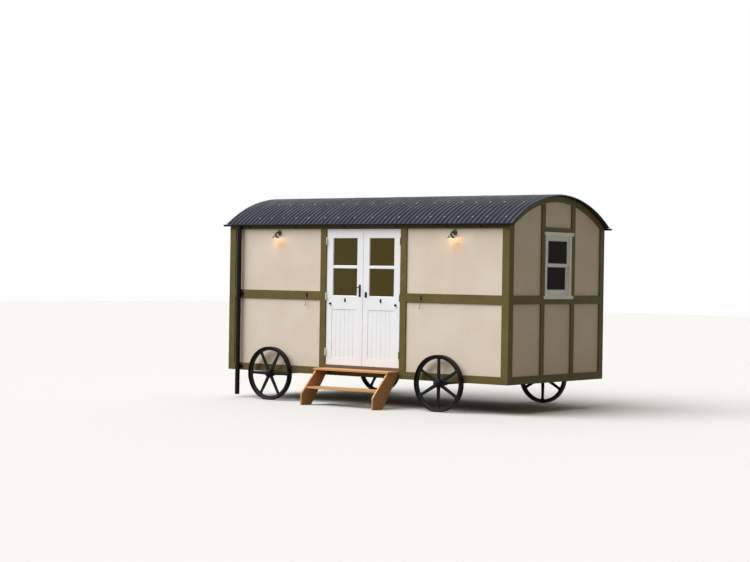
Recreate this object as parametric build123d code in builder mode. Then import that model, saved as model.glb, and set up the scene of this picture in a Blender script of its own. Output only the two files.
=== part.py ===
from build123d import *
import math
import os

os.makedirs("parts", exist_ok=True)

# Shepherd's hut on four iron wheels. Millimetres, X along the length, the doors face -Y, Z up,
# ground at Z = 0, origin at the middle of the ground plan with its steps and wheels.

# Body
body_length = 4880
body_width = 2415
body_bottom = 400
wall_thickness = 70
trim_thickness = 20
post_width = 112
batten_width = 102
end_batten_width = 90
bottom_rail_height = 103
mid_rail_bottom = 1451
mid_rail_height = 116
top_rail_below_eaves = 69
beam_height = 100
cross_member_width = 70
cross_member_count = 5
floor_thickness = 25

# Roof
ridge_height = 2935
eaves_height = 2514
eaves_overhang = 40
corrugation_pitch = 76.2
corrugation_count = 66
corrugation_depth = 18
sheet_thickness = 1.2
roof_facets = 8
roof_board_thickness = 18
roof_board_joint = 1
arch_trim_depth = 80
bow_depth = 60
bow_width = 45
bow_count = 3

# Doors
door_centre_x = 24
door_opening_width = 1284
door_recess = 15
leaf_bottom = 545
leaf_thickness = 44
leaf_gap = 5
hinge_gap = 5
meeting_bevel = 4
stile_width = 90
glazing_bead = 12
glazing_bottom = 1509
glazing_top = 2316
glazing_bar_bottom = 1895
glazing_bar_height = 33
lock_rail_bottom = 1322
door_panel_bottom = 640
door_panel_recess = 5
panel_board_count = 6
groove_width = 4
groove_depth = 2.5
pane_thickness = 6
pane_rebate = 8
pane_setback = 14
jamb_width = 30
jamb_showing = 8
stop_width = 15
threshold_top = 542

# Door furniture
knuckle_radius = 6
knuckle_length = 50
knuckle_clearance = 1
hinge_plate_thickness = 1.6
hinge_heights = (720, 1500, 2270)
spindle_x = -30
spindle_z = 1632
lever_length = 105
lever_thickness = 14
lever_reach = 46
lever_boss_radius = 11
lever_plate_width = 34
lever_plate_bottom = 1500
lever_plate_top = 1672
plate_thickness = 5
escutcheon_x = 77
escutcheon_width = 40
escutcheon_bottom = 1491
escutcheon_top = 1571
eye_height = 1450
eye_from_hinge = 328
eye_reach = 28
eye_radius = 10
eye_thickness = 5
eye_plate_width = 24
eye_plate_height = 58
eye_plate_thickness = 3
buffer_height = 1399
buffer_from_hinge = 69
buffer_radius = 15
buffer_reach = 24
hook_from_jamb = 355
hook_pivot_height = 1511
hook_length = 140
hook_rod_radius = 4
hook_eye_radius = 8
hook_eye_width = 10
hook_tip_length = 24
hook_bend = 8
hook_offset = 16
hook_plate_width = 40
hook_plate_height = 56
lug_thickness = 3

# End window
window_bottom = 1564
window_top = 2374
window_width = 669
box_frame_width = 50
box_frame_depth = 60
sash_stile_width = 38
sash_depth = 22
sash_recess = 14
lower_rail_height = 76
meeting_rail_bottom = 1954
meeting_rail_height = 39
upper_rail_height = 42
sill_height = 44
sill_horn = 35
sill_reach = 14
window_head_height = 46
head_board_height = 61

# Running gear
wheel_diameter = 760
wheel_width = 85
wheel_gap = 45
rim_thickness = 22
hub_radius = 62
hub_length = 120
hub_cap_radius = 34
hub_cap_reach = 22
spoke_count = 6
spoke_width_hub = 52
spoke_width_rim = 40
spoke_thickness = 24
axle_square = 40
journal_radius = 18
journal_clearance = 0.1
left_axle_x = -1559
right_axle_x = 1404
left_spoke_angle = 0
right_spoke_angle = 30

# Steps
steps_reach = 540
steps_width = 1268
stringer_thickness = 28
stringer_foot_depth = 213
stringer_knee_height = 163
stringer_top_reach = 228
stringer_top = 474
stringer_wall_height = 432
tread_depth = 245
tread_thickness = 28
tread_overhang = 17
lower_tread_top = 254
lower_tread_front = 440

# Rainwater goods and lamps
gutter_radius = 26
gutter_wall = 2
gutter_below_eaves = 8
gutter_off_wall = 39
gutter_end_gap = 4
outlet_radius = 20
outlet_wall = 2
outlet_length = 30
bracket_xs = (-2070, -1190, -310, 610, 1450, 1990)
bracket_width = 26
bracket_thickness = 3
bracket_drop = 24
downpipe_from_end = 215
downpipe_radius = 34
downpipe_wall = 3
downpipe_bottom = 45
collar_height = 34
collar_thickness = 4
ear_width = 145
ear_thickness = 8
lamp_left_x = -1508
lamp_right_x = 1556
lamp_height = 2392
lamp_reach = 90
lamp_plate_radius = 40
lamp_plate_thickness = 10
neck_radius = 8
neck_bend = 18
shade_drop = 26
shade_radius = 56
shade_top_radius = 18
shade_height = 54
shade_wall = 2
bulb_radius = 16
bulb_below_shade = 8
bulb_neck_radius = 9

# Sides of the prisms that stand for rounds: small fittings, pipes and hubs, straps, wheel rims
small_sides = 12
large_sides = 24
strap_sides = 8
rim_sides = 40

seat = 0.3

# Faces and levels that follow from the sizes above
hub_reach = wheel_gap + (wheel_width + hub_length) / 2 + hub_cap_reach
front_y = (steps_reach - hub_reach - body_width) / 2
back_y = front_y + body_width
middle_y = (front_y + back_y) / 2
half_length = body_length / 2
panel_x = half_length - trim_thickness
inner_x = panel_x - wall_thickness
post_x = half_length - post_width
front_panel_y = front_y + trim_thickness
front_inner_y = front_panel_y + wall_thickness
back_panel_y = back_y - trim_thickness
back_inner_y = back_panel_y - wall_thickness
beam_top = body_bottom + beam_height
bottom_rail_top = body_bottom + bottom_rail_height
mid_rail_top = mid_rail_bottom + mid_rail_height
top_rail_bottom = eaves_height - top_rail_below_eaves
door_left = door_centre_x - door_opening_width / 2
door_right = door_centre_x + door_opening_width / 2

# The roof is an arc over the width. The crests of the sheet lie on the outer radius, and each
# layer below it sits a seat under the one above.
sheet_half_span = body_width / 2 + eaves_overhang
roof_rise = ridge_height - eaves_height
crest_radius = (sheet_half_span**2 + roof_rise**2) / (2 * roof_rise)
arc_centre_z = ridge_height - crest_radius
sheet_half_angle = math.asin(sheet_half_span / crest_radius)
facet_angle = 2 * sheet_half_angle / roof_facets
valley_radius = crest_radius - corrugation_depth
board_outer_radius = valley_radius - sheet_thickness - seat
board_inner_radius = board_outer_radius - roof_board_thickness
arch_outer_radius = board_outer_radius * math.cos(facet_angle / 2)
arch_inner_radius = arch_outer_radius - arch_trim_depth
sheet_half_length = corrugation_pitch * corrugation_count / 2


def on_arc(radius, angle):
    """Point of the roof arc, as Y and Z, at an angle from the upright."""
    return middle_y + radius * math.sin(angle), arc_centre_z + radius * math.cos(angle)


def facet_angles():
    return [-sheet_half_angle + index * facet_angle for index in range(roof_facets + 1)]


def under_roof(radius):
    """Outline of all that lies below the faceted arc of this radius."""
    crown = [on_arc(radius, angle) for angle in facet_angles()]
    return [(crown[0][0], 0), *crown, (crown[-1][0], 0)]


def box_between(low, high):
    """Solid box from its low corner to its high corner, for use outside a part block."""
    size = [high[axis] - low[axis] for axis in range(3)]
    centre = [(high[axis] + low[axis]) / 2 for axis in range(3)]
    return Pos(*centre) * Box(*size)


def write(part, name):
    part.label = name
    export_step(part, "parts/" + name + ".step")


# Chassis: side beams under the long walls and cross members between them
with BuildPart() as side_beams:
    with BuildSketch(Plane.XY.offset(body_bottom)):
        for y in (front_panel_y + wall_thickness / 2, back_panel_y - wall_thickness / 2):
            with Locations((0, y)):
                Rectangle(2 * post_x, wall_thickness)
    extrude(amount=beam_height)
write(side_beams.part, "side_beams")

end_member_x = panel_x - cross_member_width / 2
member_pitch = 2 * end_member_x / (cross_member_count + 1)
with BuildPart() as cross_members:
    with BuildSketch(Plane.XY.offset(body_bottom)):
        for index in range(cross_member_count):
            with Locations((-end_member_x + (index + 1) * member_pitch, middle_y)):
                Rectangle(cross_member_width, back_inner_y - front_inner_y)
        for x in (-end_member_x, end_member_x):
            with Locations((x, middle_y)):
                Rectangle(cross_member_width, body_width - 2 * post_width)
    extrude(amount=beam_height)
write(cross_members.part, "cross_members")

# Axles: a square bar under the beams, which shoulders against the hubs, with round journals
hub_outer_y = front_y - wheel_gap - (wheel_width + hub_length) / 2
hub_inner_y = hub_outer_y + hub_length
axle_z = wheel_diameter / 2
with BuildPart() as axles:
    for x in (left_axle_x, right_axle_x):
        with BuildSketch(Plane.XZ.offset(-middle_y)):
            with Locations((x, axle_z)):
                Rectangle(axle_square, axle_square)
        extrude(amount=middle_y - hub_inner_y - seat, both=True)
        with BuildSketch(Plane.XZ.offset(-middle_y)):
            with Locations((x, axle_z)):
                RegularPolygon(journal_radius, large_sides)
        extrude(amount=middle_y - hub_outer_y - seat, both=True)
write(axles.part, "axles")


# Wheel: flat iron rim, six tapering spokes and a capped hub, cast in one
def wheel(x, wheel_y, outward, first_angle):
    rim_inner = wheel_diameter / 2 - rim_thickness
    spoke_end = rim_inner + rim_thickness / 2
    spoke_outline = [
        (0, -spoke_width_hub / 2),
        (spoke_end, -spoke_width_rim / 2),
        (spoke_end, spoke_width_rim / 2),
        (0, spoke_width_hub / 2),
    ]
    with BuildPart() as casting:
        with BuildSketch(Plane.XZ):
            RegularPolygon(wheel_diameter / 2, rim_sides)
            RegularPolygon(rim_inner, rim_sides, mode=Mode.SUBTRACT)
        extrude(amount=wheel_width / 2, both=True)
        with BuildSketch(Plane.XZ):
            with PolarLocations(0, spoke_count, start_angle=first_angle):
                Polygon(*spoke_outline, align=None)
        extrude(amount=spoke_thickness / 2, both=True)
        with BuildSketch(Plane.XZ):
            RegularPolygon(hub_radius, large_sides)
        extrude(amount=hub_length / 2, both=True)
        with BuildSketch(Plane.XZ.offset(hub_length / 2)):
            RegularPolygon(hub_cap_radius, large_sides)
        extrude(amount=hub_cap_reach)
        with BuildSketch(Plane.XZ.offset(hub_length / 2)):
            Circle(journal_radius + journal_clearance)
        extrude(amount=-hub_length, mode=Mode.SUBTRACT)
    turned = casting.part if outward < 0 else Rot(0, 0, 180) * casting.part
    return Pos(x, wheel_y, axle_z) * turned


front_wheel_y = front_y - wheel_gap - wheel_width / 2
back_wheel_y = back_y + wheel_gap + wheel_width / 2
wheel_places = {
    "front_left_wheel": (left_axle_x, front_wheel_y, -1, left_spoke_angle),
    "front_right_wheel": (right_axle_x, front_wheel_y, -1, right_spoke_angle),
    "back_left_wheel": (left_axle_x, back_wheel_y, 1, left_spoke_angle),
    "back_right_wheel": (right_axle_x, back_wheel_y, 1, right_spoke_angle),
}
for name, place in wheel_places.items():
    write(wheel(*place), name)

# Floor inside the walls
with BuildPart() as floor:
    with BuildSketch(Plane.XY.offset(beam_top)):
        with Locations((0, middle_y)):
            Rectangle(2 * inner_x, back_inner_y - front_inner_y)
    extrude(amount=floor_thickness)
write(floor.part, "floor")

# Walls: each stands on a beam and is cut off under the roof boards
roof_cut_outline = under_roof(board_inner_radius)


def wall(low_x, high_x, low_y, high_y, low_z, hole=None):
    with BuildPart() as slab:
        with BuildSketch(Plane.XY.offset(low_z)):
            with Locations(((low_x + high_x) / 2, (low_y + high_y) / 2)):
                Rectangle(high_x - low_x, high_y - low_y)
        extrude(amount=ridge_height - low_z)
        with BuildSketch(Plane.YZ):
            Polygon(*roof_cut_outline, align=None)
        extrude(amount=body_length, both=True, mode=Mode.INTERSECT)
        if hole:
            add(hole, mode=Mode.SUBTRACT)
    return slab.part


jamb_left = door_left - jamb_width
jamb_right = door_right + jamb_width
door_head_top = top_rail_bottom + jamb_width
write(wall(-post_x, jamb_left, front_panel_y, front_inner_y, beam_top), "front_wall_left")
write(wall(jamb_right, post_x, front_panel_y, front_inner_y, beam_top), "front_wall_right")
write(
    wall(jamb_left, jamb_right, front_panel_y, front_inner_y, door_head_top),
    "front_wall_over_door",
)
write(wall(-post_x, post_x, back_inner_y, back_panel_y, beam_top), "back_wall")
end_wall_low_y = front_y + post_width
end_wall_high_y = back_y - post_width
write(
    wall(-panel_x, -inner_x, end_wall_low_y, end_wall_high_y, beam_top), "left_end_wall"
)
window_low_y = middle_y - window_width / 2
window_high_y = middle_y + window_width / 2
window_hole = box_between(
    (inner_x - trim_thickness, window_low_y, window_bottom),
    (half_length, window_high_y, window_top),
)
write(
    wall(inner_x, panel_x, end_wall_low_y, end_wall_high_y, beam_top, window_hole),
    "right_end_wall",
)

# Corner posts: a post with its two outer boards, cut off under the sheet, round the roof
# boards and under the arched end trims
with BuildPart() as corner_posts:
    for side_x in (-1, 1):
        for side_y, corner_y in ((1, front_y), (-1, back_y)):
            core = post_width - trim_thickness - wall_thickness
            corner_x = side_x * half_length
            with BuildSketch(Plane.XY.offset(body_bottom)):
                Polygon(
                    (corner_x, corner_y),
                    (side_x * post_x, corner_y),
                    (side_x * post_x, corner_y + side_y * (post_width - core)),
                    (side_x * inner_x, corner_y + side_y * (post_width - core)),
                    (side_x * inner_x, corner_y + side_y * post_width),
                    (corner_x, corner_y + side_y * post_width),
                    align=None,
                )
            extrude(amount=ridge_height - body_bottom)
    with BuildSketch(Plane.YZ):
        Polygon(*under_roof(board_outer_radius), align=None)
    extrude(amount=body_length, both=True, mode=Mode.INTERSECT)
    with BuildSketch(Plane.YZ):
        with Locations((middle_y, ridge_height / 2)):
            Rectangle(body_width - 2 * trim_thickness, 2 * ridge_height)
        Polygon(*roof_cut_outline, align=None, mode=Mode.SUBTRACT)
    extrude(amount=panel_x, both=True, mode=Mode.SUBTRACT)
    for side_x in (-1, 1):
        with BuildSketch(Plane.YZ.offset(side_x * panel_x)):
            with Locations((middle_y, arc_centre_z)):
                Circle(2 * crest_radius)
                Circle(arch_inner_radius, mode=Mode.SUBTRACT)
        extrude(amount=side_x * 2 * trim_thickness, mode=Mode.SUBTRACT)
write(corner_posts.part, "corner_posts")

# Arched trims over the end walls
with BuildPart() as arch_trims:
    for side_x in (-1, 1):
        with BuildSketch(Plane.YZ.offset(side_x * panel_x)):
            with Locations((middle_y, arc_centre_z)):
                Circle(arch_outer_radius)
                Circle(arch_inner_radius, mode=Mode.SUBTRACT)
            with Locations((middle_y, ridge_height)):
                Rectangle(body_width, ridge_height, mode=Mode.INTERSECT)
        extrude(amount=side_x * trim_thickness)
write(arch_trims.part, "arch_trims")

# Rails round the body
with BuildPart() as bottom_rails:
    with BuildSketch(Plane.XY.offset(body_bottom)):
        for y in (front_y + trim_thickness / 2, back_y - trim_thickness / 2):
            with Locations((0, y)):
                Rectangle(2 * post_x, trim_thickness)
        for side_x in (-1, 1):
            with Locations((side_x * (half_length - trim_thickness / 2), middle_y)):
                Rectangle(trim_thickness, body_width - 2 * post_width)
    extrude(amount=bottom_rail_height)
write(bottom_rails.part, "bottom_rails")

# Upright battens: beside the door, opposite it on the back, and two on each end wall
door_post_left = door_left - jamb_showing - batten_width
door_post_right = door_right + jamb_showing + batten_width
end_batten_low = window_low_y - end_batten_width
end_batten_high = window_high_y + end_batten_width
with BuildPart() as battens:
    for y in (front_y + trim_thickness / 2, back_y - trim_thickness / 2):
        with BuildSketch(Plane.XY.offset(bottom_rail_top)):
            for x in (door_post_left + batten_width / 2, door_post_right - batten_width / 2):
                with Locations((x, y)):
                    Rectangle(batten_width, trim_thickness)
        extrude(amount=top_rail_bottom - bottom_rail_top)
    for side_x in (-1, 1):
        with BuildSketch(Plane.YZ.offset(side_x * panel_x)):
            with Locations((middle_y, arc_centre_z)):
                Circle(arch_inner_radius)
            with Locations((middle_y, bottom_rail_top + ridge_height / 2)):
                Rectangle(end_batten_high - end_batten_low, ridge_height, mode=Mode.INTERSECT)
                Rectangle(window_width, 2 * ridge_height, mode=Mode.SUBTRACT)
        extrude(amount=side_x * trim_thickness)
write(battens.part, "battens")


def rail_runs():
    """Each run of rail along the walls, as low and high corners in plan."""
    runs = [(-post_x, front_y, door_post_left, front_panel_y)]
    runs.append((door_post_right, front_y, post_x, front_panel_y))
    runs.append((-post_x, back_panel_y, door_post_left, back_y))
    runs.append((door_post_left + batten_width, back_panel_y, door_post_right - batten_width, back_y))
    runs.append((door_post_right, back_panel_y, post_x, back_y))
    for low_x, high_x in ((-half_length, -panel_x), (panel_x, half_length)):
        runs.append((low_x, end_wall_low_y, high_x, end_batten_low))
        runs.append((low_x, window_low_y, high_x, window_high_y))
        runs.append((low_x, end_batten_high, high_x, end_wall_high_y))
    return runs


# Middle rails between posts and battens. The one under the window stops below its sill.
sill_bottom = window_bottom - sill_height
with BuildPart() as mid_rails:
    for low_x, low_y, high_x, high_y in rail_runs():
        with BuildSketch(Plane.XY.offset(mid_rail_bottom)):
            with Locations(((low_x + high_x) / 2, (low_y + high_y) / 2)):
                Rectangle(high_x - low_x, high_y - low_y)
        extrude(amount=mid_rail_height)
    with BuildSketch(Plane.XY.offset(sill_bottom)):
        with Locations((half_length, middle_y)):
            Rectangle(2 * trim_thickness, window_width)
    extrude(amount=mid_rail_height, mode=Mode.SUBTRACT)
write(mid_rails.part, "mid_rails")

# Top rails under the eaves, with the short board over the end window
head_board_bottom = window_top + window_head_height
with BuildPart() as top_rails:
    with BuildSketch(Plane.XY.offset(top_rail_bottom)):
        for y in (front_y + trim_thickness / 2, back_y - trim_thickness / 2):
            with Locations((0, y)):
                Rectangle(2 * post_x, trim_thickness)
    extrude(amount=ridge_height - top_rail_bottom)
    with BuildSketch(Plane.YZ):
        Polygon(*under_roof(board_outer_radius), align=None)
    extrude(amount=body_length, both=True, mode=Mode.INTERSECT)
    with BuildSketch(Plane.XY.offset(head_board_bottom)):
        with Locations((half_length - trim_thickness / 2, middle_y)):
            Rectangle(trim_thickness, window_width)
    extrude(amount=head_board_height)
write(top_rails.part, "top_rails")

# Roof boards: one flat board to each facet, running the length of the hut
with BuildPart() as roof_boards:
    for low_angle, high_angle in zip(facet_angles()[:-1], facet_angles()[1:]):
        joint_angle = roof_board_joint / 2 / board_inner_radius
        with BuildSketch(Plane.YZ):
            Polygon(
                on_arc(board_inner_radius, low_angle + joint_angle),
                on_arc(board_outer_radius, low_angle + joint_angle),
                on_arc(board_outer_radius, high_angle - joint_angle),
                on_arc(board_inner_radius, high_angle - joint_angle),
                align=None,
            )
            with Locations((middle_y, ridge_height)):
                Rectangle(back_panel_y - front_panel_y, 2 * ridge_height, mode=Mode.INTERSECT)
        extrude(amount=panel_x, both=True)
write(roof_boards.part, "roof_boards")

# Bows under the boards, from wall to wall
bow_pitch = 2 * inner_x / (bow_count + 1)
with BuildPart() as roof_bows:
    for index in range(bow_count):
        with BuildSketch(Plane.YZ.offset(-inner_x + (index + 1) * bow_pitch)):
            Polygon(*roof_cut_outline, align=None)
            Polygon(*under_roof(board_inner_radius - bow_depth), align=None, mode=Mode.SUBTRACT)
            with Locations((middle_y, ridge_height)):
                Rectangle(back_inner_y - front_inner_y, ridge_height, mode=Mode.INTERSECT)
        extrude(amount=bow_width / 2, both=True)
write(roof_bows.part, "roof_bows")

# Corrugated sheet: the wave runs along the hut, each ridge of it bent over the arc
wave_top = []
for index in range(corrugation_count):
    start = -sheet_half_length + index * corrugation_pitch
    wave_top.append((start, valley_radius))
    wave_top.append((start + corrugation_pitch / 2, crest_radius))
wave_top.append((sheet_half_length, valley_radius))
wave_outline = wave_top + [(x, radius - sheet_thickness) for x, radius in reversed(wave_top)]
with BuildPart() as roof_sheet:
    for angle in facet_angles():
        across = Plane(
            origin=(0, middle_y, arc_centre_z),
            x_dir=(1, 0, 0),
            z_dir=(0, -math.cos(angle), math.sin(angle)),
        )
        with BuildSketch(across):
            Polygon(*wave_outline, align=None)
    loft(ruled=True)
write(roof_sheet.part, "roof_sheet")

# Hinges: the pins stand in front of the battens, so that the leaves swing clear of them. Each
# hinge has a knuckle on the frame and one on the leaf above it, on flaps let into the edges.
leaf_front_y = front_y + door_recess
leaf_back_y = leaf_front_y + leaf_thickness
pin_y = front_y - knuckle_radius - knuckle_clearance
flap_y = (pin_y + leaf_back_y) / 2


def pin_x(side):
    return door_centre_x + side * (door_opening_width - hinge_gap) / 2


def knuckles(side, flap_x, low_z):
    """Hinge halves on one side of the doors, each from its low end above the hinge's height."""
    with BuildPart() as halves:
        for height in hinge_heights:
            with BuildSketch(Plane.XY.offset(height + low_z)):
                with Locations((pin_x(side), pin_y)):
                    RegularPolygon(knuckle_radius, small_sides)
                with Locations((flap_x, flap_y)):
                    Rectangle(hinge_plate_thickness, leaf_back_y - pin_y)
            extrude(amount=knuckle_length)
    return halves.part


# Door frame: jambs and head behind the battens, with a stop behind the leaves
flap_offset = (hinge_gap - hinge_plate_thickness) / 2
frame_knuckles = [
    knuckles(side, pin_x(side) + side * flap_offset, -knuckle_length - seat / 2)
    for side in (-1, 1)
]
with BuildPart() as door_frame:
    with BuildSketch(Plane.XZ.offset(-front_panel_y)):
        with Locations((door_centre_x, (beam_top + door_head_top) / 2)):
            Rectangle(jamb_right - jamb_left, door_head_top - beam_top)
        with Locations((door_centre_x, top_rail_bottom / 2)):
            Rectangle(door_opening_width, top_rail_bottom, mode=Mode.SUBTRACT)
    extrude(amount=-wall_thickness)
    stop_y = leaf_back_y + leaf_gap
    with BuildSketch(Plane.XZ.offset(-stop_y)):
        with Locations((door_centre_x, (threshold_top + top_rail_bottom) / 2)):
            Rectangle(door_opening_width, top_rail_bottom - threshold_top)
        with Locations((door_centre_x, (top_rail_bottom - stop_width) / 2)):
            Rectangle(
                door_opening_width - 2 * stop_width,
                top_rail_bottom - stop_width,
                mode=Mode.SUBTRACT,
            )
    extrude(amount=stop_y - front_inner_y)
    add(frame_knuckles)
write(door_frame.part, "door_frame")

# Threshold: a sill on the beam, with a nose down to the bottom rail
with BuildPart() as threshold:
    with BuildSketch(Plane.XY.offset(beam_top)):
        with Locations((door_centre_x, front_panel_y + wall_thickness / 2)):
            Rectangle(door_opening_width, wall_thickness)
    extrude(amount=threshold_top - beam_top)
    with BuildSketch(Plane.XY.offset(bottom_rail_top)):
        with Locations((door_centre_x, front_y + trim_thickness / 2)):
            Rectangle(door_opening_width + 2 * jamb_showing, trim_thickness)
    extrude(amount=threshold_top - bottom_rail_top)
write(threshold.part, "threshold")

# Door leaves: stiles and rails round two beaded panes, with a boarded panel below. The meeting edges
# are bevelled towards the back, so that either leaf swings past the other.
leaf_top = top_rail_bottom - leaf_gap
leaf_width = door_opening_width / 2 - hinge_gap - leaf_gap / 2
pane_heights = (
    (glazing_bottom, glazing_bar_bottom),
    (glazing_bar_bottom + glazing_bar_height, glazing_top),
)


panel_width = leaf_width - 2 * stile_width
glazing_width = panel_width - 2 * glazing_bead


def leaf_centre(side):
    return door_centre_x + side * (leaf_gap + leaf_width) / 2


def door_leaf(side):
    centre_x = leaf_centre(side)
    groove_pitch = panel_width / panel_board_count
    leaf_knuckles = knuckles(side, pin_x(side) - side * flap_offset, seat / 2)
    with BuildPart() as leaf:
        with BuildSketch(Plane.XZ.offset(-leaf_front_y)):
            with Locations((centre_x, (leaf_bottom + leaf_top) / 2)):
                Rectangle(leaf_width, leaf_top - leaf_bottom)
            for low_z, high_z in pane_heights:
                with Locations((centre_x, (low_z + high_z) / 2)):
                    Rectangle(glazing_width, high_z - low_z, mode=Mode.SUBTRACT)
        extrude(amount=-leaf_thickness)
        with BuildSketch(Plane.XZ.offset(-leaf_front_y - pane_setback)):
            for low_z, high_z in pane_heights:
                with Locations((centre_x, (low_z + high_z) / 2)):
                    Rectangle(glazing_width + 2 * pane_rebate, high_z - low_z + 2 * pane_rebate)
        extrude(amount=-leaf_thickness, mode=Mode.SUBTRACT)
        with BuildSketch(Plane.XZ.offset(-leaf_front_y)):
            with Locations((centre_x, (door_panel_bottom + lock_rail_bottom) / 2)):
                Rectangle(panel_width, lock_rail_bottom - door_panel_bottom)
        extrude(amount=-door_panel_recess, mode=Mode.SUBTRACT)
        with BuildSketch(Plane.XZ.offset(-leaf_front_y - door_panel_recess)):
            for index in range(1, panel_board_count):
                groove_x = centre_x - panel_width / 2 + index * groove_pitch
                with Locations((groove_x, (door_panel_bottom + lock_rail_bottom) / 2)):
                    Rectangle(groove_width, lock_rail_bottom - door_panel_bottom)
        extrude(amount=-groove_depth, mode=Mode.SUBTRACT)
        edge_x = centre_x - side * leaf_width / 2
        with BuildSketch(Plane.XY.offset(leaf_bottom)):
            Polygon(
                (edge_x, leaf_front_y),
                (edge_x, leaf_back_y),
                (edge_x + side * meeting_bevel, leaf_back_y),
                align=None,
            )
        extrude(amount=leaf_top - leaf_bottom, mode=Mode.SUBTRACT)
        add(leaf_knuckles)
    return leaf.part


def door_panes(side):
    pane_width = glazing_width + 2 * (pane_rebate - seat)
    with BuildPart() as panes:
        with BuildSketch(Plane.XZ.offset(-leaf_front_y - pane_setback)):
            for low_z, high_z in pane_heights:
                with Locations((leaf_centre(side), (low_z + high_z) / 2)):
                    Rectangle(pane_width, high_z - low_z + 2 * (pane_rebate - seat))
        extrude(amount=-pane_thickness)
    return panes.part


# Black ironwork of a leaf: an eye for the cabin hook, a rubber buffer and the lock plate, which
# is long under the lever and short on the other leaf
def leaf_ironwork(side):
    eye_x = pin_x(side) - side * eye_from_hinge
    eye_y = leaf_front_y - eye_reach + eye_radius
    if side < 0:
        plate_x, plate_width = spindle_x, lever_plate_width
        plate_low, plate_high = lever_plate_bottom, lever_plate_top
    else:
        plate_x, plate_width = escutcheon_x, escutcheon_width
        plate_low, plate_high = escutcheon_bottom, escutcheon_top
    with BuildPart() as ironwork:
        with BuildSketch(Plane.XZ.offset(-leaf_front_y)):
            with Locations((pin_x(side) - side * buffer_from_hinge, buffer_height)):
                RegularPolygon(buffer_radius, large_sides)
        extrude(amount=buffer_reach)
        with BuildSketch(Plane.XZ.offset(-leaf_front_y)) as eye_plate:
            with Locations((eye_x, eye_height)):
                Rectangle(eye_plate_width, eye_plate_height)
            chamfer(eye_plate.vertices(), eye_plate_width / 4)
        extrude(amount=eye_plate_thickness)
        with BuildSketch(Plane.XZ.offset(-leaf_front_y)):
            with Locations((eye_x, eye_height)):
                RegularPolygon(eye_thickness, small_sides)
        extrude(amount=eye_reach - 2 * eye_radius)
        with BuildSketch(Plane.YZ.offset(eye_x)):
            with Locations((eye_y, eye_height)):
                RegularPolygon(eye_radius, small_sides)
                RegularPolygon(eye_radius - eye_thickness, small_sides, mode=Mode.SUBTRACT)
        extrude(amount=eye_thickness / 2, both=True)
        with BuildSketch(Plane.XZ.offset(-leaf_front_y)) as lock_plate:
            with Locations((plate_x, (plate_low + plate_high) / 2)):
                Rectangle(plate_width, plate_high - plate_low)
            chamfer(lock_plate.vertices(), plate_width / 4)
        extrude(amount=plate_thickness)
    return ironwork.part


for side, hand in ((-1, "left"), (1, "right")):
    write(door_leaf(side), hand + "_door_leaf")
    write(door_panes(side), hand + "_door_panes")
    write(leaf_ironwork(side), hand + "_door_ironwork")

# Lever: a boss on the plate, a neck out from it and a flat handle towards the hinges
lever_root_y = leaf_front_y - plate_thickness - seat
handle_x = spindle_x - (lever_length - lever_thickness) / 2
with BuildPart() as door_lever:
    with BuildSketch(Plane.XZ.offset(-lever_root_y)):
        with Locations((spindle_x, spindle_z)):
            RegularPolygon(lever_boss_radius, small_sides)
    extrude(amount=lever_reach)
    with BuildSketch(Plane.XZ.offset(-lever_root_y + lever_reach - lever_thickness)) as handle:
        with Locations((handle_x, spindle_z)):
            Rectangle(lever_length, lever_thickness)
        chamfer(handle.vertices(), lever_thickness / 4)
    extrude(amount=lever_thickness)
write(door_lever.part, "door_lever")


# Cabin hooks: each hangs from a pin between lugs, on a plate on the middle rail
def hook_x(side):
    return door_centre_x + side * (door_opening_width / 2 + hook_from_jamb)


hook_y = front_y - hook_offset
pin_hole_radius = (hook_rod_radius + journal_clearance) / math.cos(math.pi / small_sides)


def cabin_hook(side):
    shank_top = hook_pivot_height - (hook_eye_radius + hook_rod_radius) / 2
    tip_z = shank_top - hook_length
    with BuildPart() as hook:
        with BuildSketch(Plane.YZ.offset(hook_x(side))):
            with Locations((hook_y, hook_pivot_height)):
                RegularPolygon(hook_eye_radius, small_sides)
                RegularPolygon(pin_hole_radius, small_sides, mode=Mode.SUBTRACT)
        extrude(amount=hook_eye_width / 2, both=True)
        with BuildLine(Plane.YZ.offset(hook_x(side))):
            Polyline(
                (hook_y, shank_top),
                (hook_y, tip_z + hook_bend),
                (hook_y - hook_bend, tip_z),
                (hook_y - hook_tip_length, tip_z),
            )
        with BuildSketch(Plane(origin=(hook_x(side), hook_y, shank_top), z_dir=(0, 0, -1))):
            RegularPolygon(hook_rod_radius, small_sides)
        sweep(transition=Transition.RIGHT)
    return hook.part


with BuildPart() as hook_plates:
    for side in (-1, 1):
        with BuildSketch(Plane.XZ.offset(-front_y)):
            with Locations((hook_x(side), hook_pivot_height)):
                Rectangle(hook_plate_width, hook_plate_height)
        extrude(amount=lug_thickness)
        for lug_side in (-1, 1):
            lug_x = hook_x(side) + lug_side * (hook_eye_width / 2 + seat)
            with BuildSketch(Plane.YZ.offset(lug_x)):
                with Locations((hook_y, hook_pivot_height)):
                    RegularPolygon(hook_eye_radius, small_sides)
                with Locations(((hook_y + front_y) / 2, hook_pivot_height)):
                    Rectangle(hook_offset, 2 * hook_rod_radius)
            extrude(amount=lug_side * lug_thickness)
        with BuildSketch(Plane.YZ.offset(hook_x(side))):
            with Locations((hook_y, hook_pivot_height)):
                RegularPolygon(hook_rod_radius, small_sides)
        extrude(amount=hook_eye_width / 2 + seat, both=True)
write(hook_plates.part, "hook_plates")
write(cabin_hook(-1), "left_cabin_hook")
write(cabin_hook(1), "right_cabin_hook")

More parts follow.
